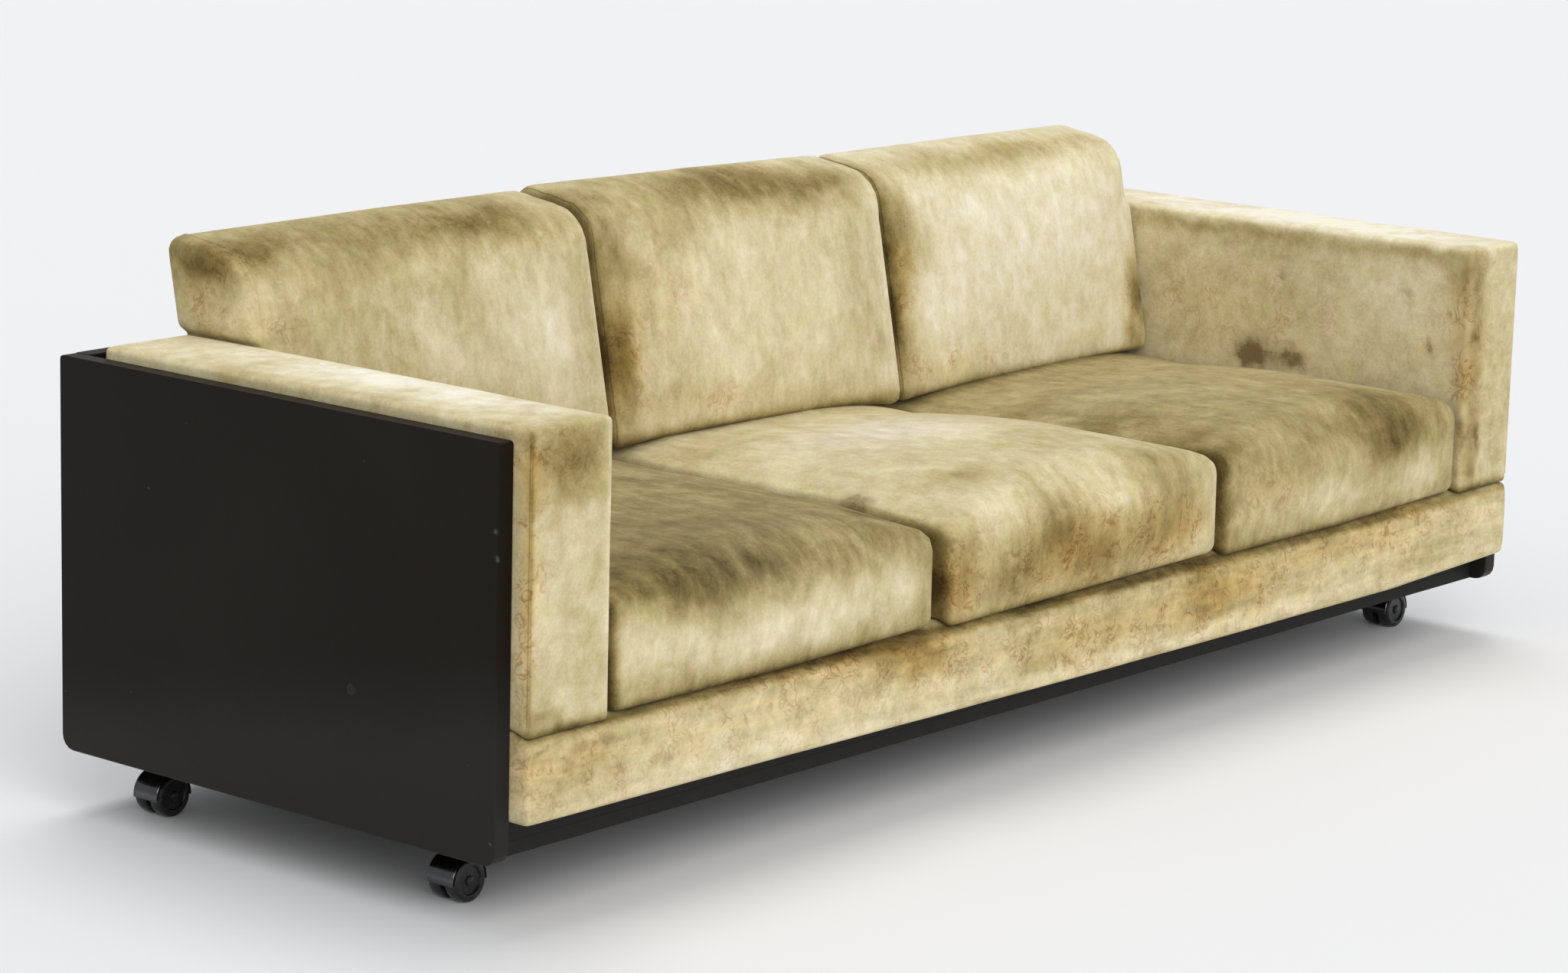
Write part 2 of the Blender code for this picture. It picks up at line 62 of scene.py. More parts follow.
# Seat cushions: the ends' places along the sofa, and how the cover rises, sags, hangs and rounds
SEAT_ENDS = {"left": (-0.946, -0.311), "middle": (-0.287, 0.335), "right": (0.3395, 0.9605)}
SEAT_CROWN = {"left": 0.012, "middle": 0.016, "right": 0.010}
SEAT_SAG = {"left": ((-0.30, 0.20, 0.010),), "middle": ((-0.31, 0.12, 0.014),)}
SEAT_END_DROP = 0.012
SEAT_DROOP = {
    "left": (0.007, 0.0095, 0.001),
    "middle": (0.0125, 0.0075, 0.001),
    "right": (0.0135, 0.0135, 0.002),
}
SEAT_FRONT_ROLL = 0.026
SEAT_LOW_ROLL = 0.014
SEAT_REAR_ROLL = 0.020
SEAT_END_ROUND = 0.010
SEAT_INSET = 0.004
SEAT_BOTTOM = 0.02
SEAT_TOP_SPARE = 0.025
SEAT_FRONT_SPARE = 0.012

# Depths in front of the middle between which a seat cover's forms set in, or behind it for the sunk part
CROWN_DEPTHS = (-0.16, 0.02)
SAG_DEPTHS = (0.22, 0.40)
END_DROP_DEPTHS = (-0.20, -0.05)
TOP_SPARE_DEPTHS = (-0.15, 0.0)
SUNK_REAR_DEPTHS = (-0.14, 0.08)

# Back cushions: ends, thickness, rise of the top at both ends, and how the cover rounds and bulges
BACK_ENDS = {"left": (-0.9497, -0.3140), "middle": (-0.3045, 0.3265), "right": (0.3355, 0.9605)}
BACK_THICKNESS = {"left": 0.148, "middle": 0.143, "right": 0.136}
BACK_TOP_RISE = {"left": (0.005, 0.005), "middle": (0.010, -0.002), "right": (-0.003, -0.007)}
BACK_OVERHANG = {"left": -0.015, "middle": 0.0, "right": -0.009}
BACK_TOP_SLOPE = 0.020
BACK_LOW_DROP = 0.006
BACK_FRONT_ROLL = 0.042
BACK_REAR_ROLL = 0.030
BACK_LOW_ROLL = 0.016
BACK_END_ROUND = 0.008
BACK_BULGE = 0.010
BACK_LEAN = 0.20
BACK_INSET = 0.002
BACK_SEAM_INSET = 0.006
BACK_LOW_REACH = 0.08
OVER_ARM_HEIGHTS = (0.620, 0.632)
OVER_ARM_PLACES = (0.75, 0.95)

# Where the seats have sunk under the back cushions, along the sofa
SUNK_PLACES = (-0.31, 0.0, 0.16, 0.33, 0.65, 0.95)
SUNK_DEPTHS = (0.0, 0.003, 0.008, 0.016, 0.014, 0.010)

# Arms, front rail and back rest
ARM_ROUND = 0.008
ARM_SLIM = {"left": 0.0, "right": 0.010}
ARM_DROOP = {"left": 0.007, "right": 0.004}
RAIL_ROUND = 0.008
RAIL_PLACES = (-1.1, -0.7, -0.3, 0.1, 0.35, 0.8, 1.1)
RAIL_TOP_DROP = (0.008, 0.0105, 0.0135, 0.0095, 0.0150, 0.0135, 0.004)
RAIL_LOW_DROP = (0.001, 0.004, 0.0085, 0.0115, 0.0125, 0.0135, 0.003)
HANG_DEPTHS = (0.372, 0.402)
HANG_REACH = 0.05
FACE_REACH = 0.02
PAD_FULLNESS = 0.003
ARM_TOP_FULLNESS = 0.002
ARM_DENTS = 0.0012
ARM_DENT_SCALE = (9, 7, 9)
RAIL_DENTS = 0.0014
RAIL_DENT_SCALE = (6, 6, 10)
BACK_REST_ROUND = 0.004
BACK_REST_STEP = 0.03
PAD_STEP = 0.009
PAST_PAD = 0.02

# Cloth
CUSHION_VOXEL = 0.007
CLOTH_STEPS = 20
CLOTH_PRESSURE = 4.0
SWELL_LIMIT = 0.014
HELD_SHARES = (0.95, 0.985)
HELD_HEIGHTS = (-0.02, -0.01)
NO_LENGTH = 1e-9
CLEARANCE = 0.0004
SPARE = Vector((CLEARANCE, CLEARANCE, CLEARANCE))
SAME_PLACE = 1e-5
LONG_EDGE = 0.05

# Seams
SEAM_RADIUS = 0.0014
SEAM_STEPS = 160
SEAM_END_GAP = 0.010
SEAM_DEPTH = 0.02

# Casters
KINGPIN_RADIUS = 0.0050
HOOD_GAP = 0.0035
PLATE_GAP = 0.0008
SCREW_INSET = 0.006
SCREW_TURN = 0.4
SHARP_EDGE = math.radians(35)


# Lie of the pile on each cover, from 0 for dark to 1 for pale
PLAIN_NAP = 0.5
NAP_BASE = {
    "left_back_cover": 0.66,
    "middle_back_cover": 0.78,
    "right_back_cover": 0.95,
    "left_seat_cover": 0.35,
    "middle_seat_cover": 0.73,
    "right_seat_cover": 0.45,
    "left_arm_cover": 0.79,
    "right_arm_cover": 0.82,
    "front_rail_cover": 0.73,
}

# Hue of the pile, below 0 for greyer and above 0 for browner
PLAIN_WARMTH = 0.1
WARMTH_BASE = {
    "left_back_cover": 0.00,
    "middle_back_cover": 0.00,
    "right_back_cover": 0.00,
    "left_seat_cover": 0.00,
    "middle_seat_cover": 0.00,
    "right_seat_cover": 0.00,
    "left_arm_cover": 0.00,
    "right_arm_cover": 0.10,
    "front_rail_cover": 0.22,
}

# Soft marks on the covers: place and reach in millimetres, and strength in hundredths
MARK_LENGTH = 0.001
MARK_STRENGTH = 0.01
MARK_WAVES = ((11.0, 0.016), (37.0, 0.009))
STAIN_WAVES = ((60.0, 0.010), (150.0, 0.005))
WAVE_SEED = 5

# Marks on the lie of the pile, where it is brushed up or down, with painted highlights on the back
# cushions' top rims and the arms' tops and painted shade beside the gaps between cushions
PILE_MARKS_AND_PAINTED_LIGHT = {
    "left_back_cover": (
        (-948, 352, 721, 56, 60, 28, -36), (-916, 282, 734, 80, 60, 30, -36),
        (-731, 302, 737, 112, 60, 25, -26), (-551, 297, 737, 112, 60, 25, -32),
        (-476, 254, 726, 80, 60, 30, -24), (-852, 223, 687, 48, 60, 42, -10),
        (-744, 231, 706, 96, 60, 32, -12), (-656, 204, 610, 22, 60, 48, 16),
        (-618, 195, 565, 48, 60, 42, 18), (-423, 199, 575, 80, 60, 85, 23),
        (-401, 183, 489, 64, 60, 42, 14), (-947, 237, 648, 80, 60, 26, 8),
        (-470, 200, 588, 96, 60, 117, 16), (-948, 282, 666, 96, 60, 42, 8),
        (-630, 355, 748, 300, 30, 14, 22),
    ),
    "middle_back_cover": (
        (-249, 318, 739, 72, 60, 25, -34), (-85, 327, 740, 112, 60, 28, -38),
        (48, 279, 733, 112, 60, 30, -42), (211, 253, 721, 96, 60, 28, -38),
        (-270, 227, 674, 38, 60, 58, -26), (-279, 204, 557, 35, 60, 48, -36),
        (-278, 192, 498, 35, 60, 53, -32), (-135, 234, 703, 72, 60, 36, -16),
        (-42, 195, 539, 112, 60, 64, 10), (163, 194, 533, 72, 60, 74, 10),
        (-160, 182, 466, 80, 60, 19, -8), (106, 178, 433, 80, 60, 15, -10),
        (-237, 209, 595, 64, 60, 127, -10), (0, 352, 755, 300, 30, 14, 20),
    ),
    "right_back_cover": (
        (515, 312, 724, 88, 60, 21, -28), (697, 287, 720, 88, 60, 19, -20),
        (875, 302, 723, 64, 60, 15, -16), (357, 229, 646, 38, 60, 74, -44),
        (334, 205, 512, 35, 60, 74, -44), (417, 217, 604, 26, 60, 36, -16),
        (935, 202, 493, 22, 60, 32, -30), (922, 189, 417, 22, 60, 26, -30),
        (432, 186, 428, 80, 60, 21, -12), (754, 185, 427, 80, 60, 19, -10),
        (614, 218, 621, 128, 60, 74, 6), (630, 350, 735, 300, 30, 14, 2),
    ),
    "left_seat_cover": (
        (-893, -370, 402, 64, 80, 60, -15), (-816, -381, 399, 64, 72, 60, -15),
        (-751, -384, 397, 64, 72, 60, -13), (-662, -389, 392, 56, 60, 19, -14),
        (-581, -392, 388, 64, 60, 19, -8), (-688, -204, 413, 96, 100, 60, -6),
        (-625, -263, 413, 128, 88, 60, -6), (-356, -211, 406, 64, 32, 60, -14),
        (-374, -311, 408, 26, 32, 60, -34), (-903, -400, 332, 112, 60, 47, 41),
        (-731, -400, 310, 144, 60, 47, 43), (-540, -400, 310, 128, 60, 47, 45),
        (-391, -400, 326, 64, 60, 47, 37), (-871, -390, 386, 160, 60, 21, -10),
        (-659, -400, 282, 256, 60, 32, 8),
    ),
    "middle_seat_cover": (
        (-252, 99, 403, 96, 56, 60, -10), (-21, -31, 417, 144, 80, 60, 12),
        (35, -141, 417, 112, 80, 60, 14), (-148, -307, 416, 42, 32, 60, -26),
        (113, -211, 417, 80, 40, 60, -8), (195, -386, 397, 80, 48, 60, -24),
        (-61, -400, 342, 80, 60, 47, -36), (39, -400, 292, 64, 60, 36, -28),
        (-167, -400, 291, 64, 60, 42, -14), (-262, -400, 339, 38, 60, 53, -20),
        (-284, -398, 292, 22, 60, 37, -30), (225, -400, 316, 70, 60, 47, -20),
        (138, -400, 312, 48, 60, 42, -10), (65, -398, 374, 48, 60, 15, 10),
        (-190, -382, 400, 64, 56, 60, 10), (82, -400, 294, 16, 60, 42, 8),
        (-18, -400, 318, 256, 60, 49, -13), (-193, -400, 278, 96, 60, 32, -10),
    ),
    "right_seat_cover": (
        (330, 12, 400, 128, 48, 60, -16), (351, -163, 405, 112, 48, 60, -20),
        (332, -308, 402, 96, 48, 60, -24), (351, -381, 392, 48, 60, 15, -20),
        (764, -379, 400, 80, 64, 60, -24), (770, -399, 365, 80, 60, 21, -18),
        (906, -398, 365, 22, 60, 42, -16), (680, -392, 385, 42, 60, 15, -10),
        (496, -400, 348, 38, 60, 53, -6), (437, -400, 311, 80, 60, 42, 20),
        (610, -400, 304, 96, 60, 47, 28), (841, -400, 299, 70, 60, 47, 34),
        (612, -400, 286, 192, 60, 28, 8),
    ),
    "left_arm_cover": (
        (-1033, -404, 587, 70, 60, 34, -24), (-1021, -404, 541, 58, 60, 21, -20),
        (-1069, -404, 270, 26, 60, 11, -26), (-1098, -397, 499, 20, 19, 212, -4),
        (-1040, -404, 416, 64, 60, 127, 2), (-1067, 110, 624, 64, 40, 60, -14),
        (-1099, -346, 609, 20, 41, 11, -18), (-1089, -141, 623, 96, 40, 60, -6),
        (-1020, -100, 624, 80, 400, 12, 24), (-980, -100, 624, 30, 300, 30, 14),
        (-995, -400, 400, 60, 30, 300, -9),
    ),
    "right_arm_cover": (
        (953, 102, 611, 50, 68, 13, -20), (954, -15, 615, 50, 54, 11, -16),
        (951, 133, 558, 50, 19, 13, -12), (952, -243, 604, 50, 82, 11, -14),
        (953, -331, 605, 50, 54, 13, -18), (955, -397, 566, 50, 30, 42, -20),
        (961, -403, 425, 50, 19, 64, -13), (972, -404, 300, 32, 60, 42, -19),
        (1045, -404, 434, 32, 60, 148, -4), (951, -24, 490, 50, 136, 64, -2),
        (951, -271, 522, 50, 68, 64, 10), (951, 90, 426, 50, 68, 21, -8),
        (1030, -50, 626, 100, 450, 10, 22), (1060, -400, 420, 60, 30, 300, -11),
    ),
    "front_rail_cover": (
        (-430, -404, 244, 112, 60, 17, -22), (-343, -407, 229, 48, 60, 21, -16),
        (-641, -406, 240, 80, 60, 15, -12), (-104, -406, 239, 96, 60, 15, -8),
        (298, -407, 208, 48, 60, 32, -22), (528, -407, 226, 96, 60, 15, -12),
        (738, -406, 231, 96, 60, 15, -10), (-1071, -407, 203, 64, 60, 53, -10),
        (-963, -407, 213, 48, 60, 32, -10), (-735, -407, 194, 96, 60, 42, 12),
        (-356, -407, 215, 96, 60, 28, -14), (-73, -407, 165, 64, 60, 17, -16),
        (64, -407, 203, 96, 60, 42, -8), (210, -407, 187, 96, 60, 42, -8),
        (359, -407, 189, 80, 60, 42, -12), (534, -406, 161, 80, 60, 17, -10),
        (862, -406, 165, 80, 60, 17, -8), (-661, -406, 156, 192, 60, 15, 14),
        (-195, -406, 170, 240, 60, 15, 12), (351, -405, 145, 240, 60, 13, 10),
        (0, -400, 140, 1200, 40, 12, 14),
    ),
}

# Marks on its lie along edges and in gaps, kept sharp: mostly painted shade in gaps, grooves and seams,
# painted highlights on lit edges and tops, a few darker pile patches
EDGE_PILE_AND_PAINTED_LIGHT = {
    "left_back_cover": (
        (-640, 285, 718, 330, 60, 24, -12), (-317, 215, 580, 10, 80, 200, 20),
        (-630, 180, 407, 400, 60, 16, -50),
    ),
    "middle_back_cover": (
        (0, 285, 722, 320, 60, 26, -18), (-307, 230, 580, 12, 140, 300, -55),
        (-280, 215, 540, 26, 140, 260, -16), (318, 205, 560, 18, 100, 240, 20),
        (-150, 180, 404, 240, 60, 15, -60), (210, 180, 395, 180, 60, 15, -60),
    ),
    "right_back_cover": (
        (630, 285, 718, 320, 60, 22, -30), (338, 240, 580, 14, 140, 300, -50),
        (363, 200, 540, 26, 140, 260, -16), (946, 200, 475, 34, 140, 70, -45),
        (630, 180, 391, 400, 60, 16, -66),
    ),
    "left_seat_cover": (
        (-630, -396, 243, 400, 50, 12, -66), (-313, -398, 330, 8, 40, 70, 16),
        (-946, -400, 310, 11, 60, 90, -75),
    ),
    "middle_seat_cover": (
        (10, -396, 243, 400, 50, 12, -66), (-288, -330, 330, 8, 100, 100, -85),
        (10, 205, 398, 330, 22, 30, -30), (333, -398, 330, 8, 40, 70, 18),
    ),
    "right_seat_cover": (
        (630, -396, 240, 400, 50, 12, -66), (341, -390, 330, 12, 80, 90, -62),
        (640, 192, 392, 330, 24, 30, -40), (959, -390, 320, 10, 60, 90, -40),
    ),
    "left_arm_cover": (
        (-957, -400, 450, 8, 30, 200, 22), (-1096, -402, 430, 4, 5, 300, -35),
        (-1030, -400, 246, 90, 50, 10, -75), (-1000, -100, 627, 50, 330, 8, 6),
        (-1094, -50, 622, 18, 400, 20, -16), (-1030, -404, 585, 75, 12, 46, -24),
    ),
    "right_arm_cover": (
        (1030, -400, 248, 90, 50, 10, -75), (1030, -50, 627, 75, 450, 8, 26),
        (966, -50, 604, 20, 420, 18, -16), (990, -404, 450, 22, 30, 220, -28),
    ),
    "front_rail_cover": (
        (-720, -400, 245, 480, 30, 7, -55), (20, -400, 244, 420, 30, 7, -55),
        (720, -400, 241, 480, 30, 8, -50),
    ),
}

# Marks on its hue
WARMTH = {
    "left_back_cover": (
        (-948, 317, 669, 80, 60, 42, 50), (-932, 218, 640, 80, 60, 32, 40),
        (-944, 286, 729, 96, 60, 32, 50), (-551, 297, 737, 96, 60, 19, 50),
        (-433, 249, 722, 80, 60, 42, 25),
    ),
    "middle_back_cover": (
        (-285, 198, 524, 48, 60, 64, 70), (-196, 211, 616, 96, 60, 95, 30),
        (48, 279, 733, 192, 60, 26, 40), (-109, 180, 451, 160, 60, 26, 35),
    ),
    "right_back_cover": (
        (357, 214, 573, 32, 60, 95, 70), (730, 313, 724, 144, 60, 17, 50),
        (476, 185, 432, 144, 60, 32, 50), (925, 193, 455, 32, 60, 53, 50),
    ),
    "left_seat_cover": (
        (-669, -271, 413, 256, 240, 60, -60), (-371, 15, 407, 144, 120, 60, -50),
    ),
    "middle_seat_cover": (
        (-274, -400, 308, 38, 60, 64, 60), (-18, -400, 310, 192, 60, 64, 90),
        (-1, -48, 417, 224, 120, 60, -70), (226, -400, 307, 80, 60, 53, 70),
    ),
    "right_seat_cover": (
        (493, -80, 411, 288, 120, 60, -40), (773, -397, 374, 96, 60, 32, 30),
        (435, -400, 330, 96, 60, 53, 40),
    ),
    "left_arm_cover": (
        (-1033, -404, 580, 72, 60, 42, 50), (-1098, -396, 550, 20, 24, 64, 80),
        (-1097, -398, 439, 20, 22, 85, 80), (-1099, -391, 326, 20, 19, 74, 50),
    ),
    "right_arm_cover": (
        (951, 11, 486, 50, 190, 74, 30), (959, -402, 454, 50, 33, 159, 60),
        (952, -330, 463, 50, 22, 17, 50),
    ),
    "front_rail_cover": (
        (-432, -406, 236, 144, 60, 25, 60), (-343, -407, 212, 96, 60, 32, 50),
        (9, -407, 186, 192, 60, 42, 50), (344, -407, 192, 128, 60, 42, 80),
        (688, -407, 220, 240, 60, 32, 50), (-736, -407, 210, 192, 60, 32, 30),
        (-1039, -407, 205, 96, 60, 42, 40),
    ),
}

# Brown stains
STAIN = {
    "right_arm_cover": (
        (951, -39, 415, 50, 73, 30, 58), (951, -16, 411, 50, 19, 30, 54),
        (951, -97, 413, 50, 24, 21, 55), (951, 7, 408, 50, 16, 17, 35),
        (960, -402, 444, 50, 41, 159, 34), (952, -328, 492, 50, 41, 64, 16),
        (951, -67, 544, 50, 16, 7, 55), (952, -292, 544, 50, 16, 6, 50),
        (952, -340, 465, 50, 11, 13, 55), (957, -400, 340, 50, 11, 21, 50),
        (1004, -404, 325, 13, 60, 32, 50), (992, -404, 278, 16, 60, 17, 50),
        (987, -404, 488, 13, 60, 13, 45), (955, -396, 585, 50, 22, 21, 35),
    ),
    "front_rail_cover": (
        (-1006, -407, 221, 26, 60, 8, 52), (-963, -407, 221, 13, 60, 15, 52),
        (-849, -407, 176, 19, 60, 8, 52), (-770, -407, 200, 16, 60, 17, 24),
        (-748, -407, 228, 13, 60, 11, 36), (-653, -407, 219, 22, 60, 15, 42),
        (-519, -406, 227, 38, 60, 15, 36), (-432, -406, 236, 54, 60, 17, 40),
        (-356, -407, 231, 32, 60, 21, 36), (-145, -406, 229, 48, 60, 13, 34),
        (301, -407, 172, 38, 60, 13, 44), (373, -407, 205, 42, 60, 13, 34),
        (530, -407, 189, 42, 60, 11, 42), (723, -407, 205, 58, 60, 11, 40),
        (909, -407, 196, 22, 60, 11, 42),
    ),
    "left_seat_cover": (
        (-683, -400, 278, 19, 60, 15, 28), (-490, -400, 302, 16, 60, 17, 26),
        (-903, -400, 347, 14, 60, 15, 30), (-365, -314, 407, 35, 40, 60, 75),
        (-346, -213, 405, 26, 28, 60, 40),
    ),
    "middle_seat_cover": (
        (-176, -329, 415, 35, 32, 60, 26), (-289, -230, 399, 35, 32, 60, 70),
        (-62, -400, 350, 38, 60, 21, 38), (38, -400, 309, 32, 60, 25, 36),
        (-247, -400, 303, 22, 60, 36, 30), (210, -400, 327, 26, 60, 32, 32),
    ),
    "right_seat_cover": (
        (427, -392, 383, 42, 60, 15, 30), (468, -400, 307, 22, 60, 25, 36),
        (689, -400, 330, 19, 60, 15, 34),
    ),
    "left_arm_cover": (
        (-1080, -404, 272, 22, 60, 10, 45), (-1063, -404, 502, 11, 60, 7, 34),
        (-1092, -403, 439, 20, 8, 8, 34), (-1042, -402, 617, 19, 28, 60, 26),
        (-1001, -404, 598, 19, 60, 8, 22),
    ),
    "left_back_cover": (
        (-926, 317, 739, 42, 60, 15, 26), (-602, 317, 739, 48, 60, 13, 24),
        (-910, 242, 715, 35, 60, 13, 20),
    ),
    "middle_back_cover": (
        (-278, 206, 565, 22, 60, 25, 30), (-266, 191, 496, 19, 60, 28, 28),
        (-270, 227, 674, 16, 60, 32, 22),
    ),
    "right_back_cover": (
        (377, 220, 608, 13, 60, 42, 30), (356, 198, 492, 13, 60, 42, 30),
        (419, 218, 613, 19, 60, 23, 22), (920, 188, 427, 16, 60, 25, 34),
    ),
}


def deselect():
    bpy.ops.object.select_all(action="DESELECT")


def activate(piece):
    deselect()
    piece.select_set(True)
    bpy.context.view_layer.objects.active = piece


def settle(piece):
    """Applies place, turn and scale, so that the object sits at the origin."""
    activate(piece)
    bpy.ops.object.transform_apply(location=True, rotation=True, scale=True)


def named(name):
    """Names the object that an operator has just added."""
    piece = bpy.context.object
    piece.name = name
    piece.data.name = name
    return piece


def block(name, low, high):
    """A cube between two corners: the start of a piece."""
    low = Vector(low)
    high = Vector(high)
    deselect()
    bpy.ops.mesh.primitive_cube_add(size=1.0, location=(low + high) / 2)
    piece = named(name)
    piece.scale = high - low
    settle(piece)
    return piece


def edit(piece, kind, wanted, operator, **settings):
    """Runs one edit-mode operator on the edges or faces that a test picks by their place."""
    activate(piece)
    mesh = piece.data
    bpy.ops.object.mode_set(mode="EDIT")
    bpy.ops.mesh.select_mode(type=kind)
    bpy.ops.mesh.select_all(action="DESELECT")
    bpy.ops.object.mode_set(mode="OBJECT")
    if kind == "EDGE":
        for edge in mesh.edges:
            first, second = (mesh.vertices[i].co for i in edge.vertices)
            edge.select = wanted(first, second)
    else:
        for face in mesh.polygons:
            face.select = wanted(face.center, face.normal)
    bpy.ops.object.mode_set(mode="EDIT")
    operator(**settings)
    bpy.ops.object.mode_set(mode="OBJECT")


def apply_modifier(piece, kind, **settings):
    activate(piece)
    modifier = piece.modifiers.new(kind.lower(), kind)
    for name, value in settings.items():
        setattr(modifier, name, value)
    bpy.ops.object.modifier_apply(modifier=modifier.name)


def read_points(piece):
    points = np.empty(len(piece.data.vertices) * 3, np.float32)
    piece.data.vertices.foreach_get("co", points)
    return points.reshape(-1, 3).astype(float)


def write_points(piece, points):
    piece.data.vertices.foreach_set("co", points.astype(np.float32).ravel())
    piece.data.update()


def rise(values, start, end):
    """A smooth step from 0 at start to 1 at end."""
    share = np.clip((values - start) / (end - start), 0, 1)
    return share * share * (3 - 2 * share)


def ripples(points, scale, shift=0.0):
    """Smooth noise between about -1 and 1 at points scaled axis by axis."""
    scaled = points * np.array(scale) + shift
    return np.array([noise.noise(point) for point in scaled.tolist()])


def wandered(points, waves):
    """Points moved by smooth noise in all directions, each wave with its scale and its reach."""
    moved = points
    for scale, reach in waves:
        found = [noise.noise_vector(point) for point in (points * scale).tolist()]
        moved = moved + np.array(found) * reach
    return moved


def every_edge(first, second):
    return True


def along_x(first, second):
    return abs(first.x - second.x) > LONG_EDGE


def roll_edge(piece, front, upper, radius, segments):
    """Rounds one of the four long edges of a block."""
    corners = [vertex.co for vertex in piece.data.vertices]
    middle = sum(corners, Vector()) / len(corners)

    def on_edge(first, second):
        place = (first + second) / 2 - middle
        return along_x(first, second) and (place.y < 0) == front and (place.z > 0) == upper

    edit(piece, "EDGE", on_edge, bpy.ops.mesh.bevel, offset=radius, segments=segments)


def soften_ends(piece, radius):
    """Rounds the seams around the two end faces of a rolled block."""
    low = min(vertex.co.x for vertex in piece.data.vertices)
    high = max(vertex.co.x for vertex in piece.data.vertices)

    def at_end(first, second):
        flat = abs(first.x - second.x) < SAME_PLACE
        return flat and (abs(first.x - low) < SAME_PLACE or abs(first.x - high) < SAME_PLACE)

    edit(piece, "EDGE", at_end, bpy.ops.mesh.bevel, offset=radius, segments=3)


def fine_grid(piece, step):
    """Cuts the long straight edges of a rounded block into even steps, axis by axis."""
    for axis in range(3):

        def straight(first, second):
            span = second - first
            across = max(abs(span[other]) for other in range(3) if other != axis)
            return abs(span[axis]) > 2 * step and across < SAME_PLACE

        mesh = piece.data
        ends = [[mesh.vertices[i].co for i in edge.vertices] for edge in mesh.edges]
        spans = [(second - first).length for first, second in ends if straight(first, second)]
        if spans:
            cuts = round(max(spans) / step) - 1
            edit(piece, "EDGE", straight, bpy.ops.mesh.subdivide, number_cuts=cuts)


def hollow(piece, low, high):
    """Cuts a box-shaped recess, where a board sits inside a pad."""
    cutter = block("recess", low, high)
    apply_modifier(piece, "BOOLEAN", operation="DIFFERENCE", solver="EXACT", object=cutter)
    bpy.data.objects.remove(cutter, do_unlink=True)


def swell(cover, held):
    """Lets pressure fill the cover for a moment, held at its seams, no point past the limit."""
    before = read_points(cover)
    activate(cover)
    seams = cover.vertex_groups.new(name="seams")
    for index, weight in enumerate(held.tolist()):
        seams.add([index], weight, "REPLACE")
    cloth = cover.modifiers.new("cloth", "CLOTH")
    cloth.settings.vertex_group_mass = seams.name
    cloth.settings.use_pressure = True
    cloth.settings.uniform_pressure_force = CLOTH_PRESSURE
    cloth.settings.effector_weights.gravity = 0
    cloth.collision_settings.use_collision = False
    scene = bpy.context.scene
    for step in range(1, CLOTH_STEPS + 1):
        scene.frame_set(step)
    bpy.ops.object.modifier_apply(modifier=cloth.name)
    scene.frame_set(1)
    moved = read_points(cover) - before
    length = np.maximum(np.linalg.norm(moved, axis=1, keepdims=True), NO_LENGTH)
    write_points(cover, before + moved * np.minimum(1, SWELL_LIMIT / length))


def dress(piece, finish, body):
    """Smooth shading, finish and body of a finished piece."""
    activate(piece)
    bpy.ops.object.shade_smooth()
    piece.data.materials.clear()
    piece.data.materials.append(finish)
    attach(piece, body)


def marked(points, marks):
    """A value for each point from soft marks, each with a place, a reach and a strength."""
    values = np.zeros(len(points))
    for mark in marks:
        place, reach = MARK_LENGTH * np.array((mark[:3], mark[3:6]))
        away = (points - place) / reach
        values += MARK_STRENGTH * mark[6] * np.exp(-(away**2).sum(axis=1))
    return values


def paint(piece, name, values):
    layer = piece.data.attributes.new(name, "FLOAT", "POINT")
    layer.data.foreach_set("value", values.astype(np.float32))


def paint_pile_and_light(piece, cover_name):
    """The velvet's three painted values, with the marks of a cover, their outlines broken up; the edge
    marks of painted shade and highlights join the pile's lie unbroken.
    """
    points = read_points(piece)
    moved = wandered(points, MARK_WAVES)
    nap = NAP_BASE.get(cover_name, PLAIN_NAP) + marked(moved, PILE_MARKS_AND_PAINTED_LIGHT.get(cover_name, ()))
    # The lie of the pile, which carries painted shade and painted highlights besides the pile's own
    # marks
    paint(piece, "nap", nap + marked(points, EDGE_PILE_AND_PAINTED_LIGHT.get(cover_name, ())))
    warmth = WARMTH_BASE.get(cover_name, PLAIN_WARMTH) + marked(moved, WARMTH.get(cover_name, ()))
    paint(piece, "warmth", warmth)
    smeared = wandered(points, STAIN_WAVES)
    paint(piece, "stain", marked(smeared, STAIN.get(cover_name, ())))


def bead(name, points, closed, cover_name, finish, body):
    """A thin sewn ridge along a line of points."""
    line = bpy.data.curves.new(name, "CURVE")
    line.dimensions = "3D"
    line.bevel_depth = SEAM_RADIUS
    line.bevel_resolution = 2
    spline = line.splines.new("POLY")
    spline.points.add(len(points) - 1)
    spline.use_cyclic_u = closed
    for point, place in zip(spline.points, points):
        point.co = (*place, 1.0)
    ridge = bpy.data.objects.new(name, line)
    bpy.context.scene.collection.objects.link(ridge)
    activate(ridge)
    bpy.ops.object.convert(target="MESH")
    ridge = named(name)
    paint_pile_and_light(ridge, cover_name)
    dress(ridge, finish, body)


def end_seam(cover, name, x, body):
    """The seam between a cushion's wrap and an end panel, around the section at x."""
    points = read_points(cover)
    middle = (points.min(axis=0) + points.max(axis=0)) / 2
    middle = Vector((x, middle[1], middle[2]))
    rim = []
    for step in range(SEAM_STEPS):
        angle = 2 * math.pi * step / SEAM_STEPS
        way = Vector((0, math.cos(angle), math.sin(angle)))
        met, place = cover.ray_cast(middle, way)[:2]
        if met:
            rim.append(place)
    bead(name, rim, True, cover.name, CUSHION_VELVET, body)


def hang_over_rail(points, low, drop):
    """Lets a piece's lower front edge hang down over the front rail."""
    over_rail = rise(-points[:, 1], *HANG_DEPTHS) * rise(-points[:, 2], -low - HANG_REACH, -low)
    points[:, 2] -= drop * over_rail


def sunk(points):
    """How far the seats have sunk under the back cushions."""
    return np.interp(points[:, 0], SUNK_PLACES, SUNK_DEPTHS)


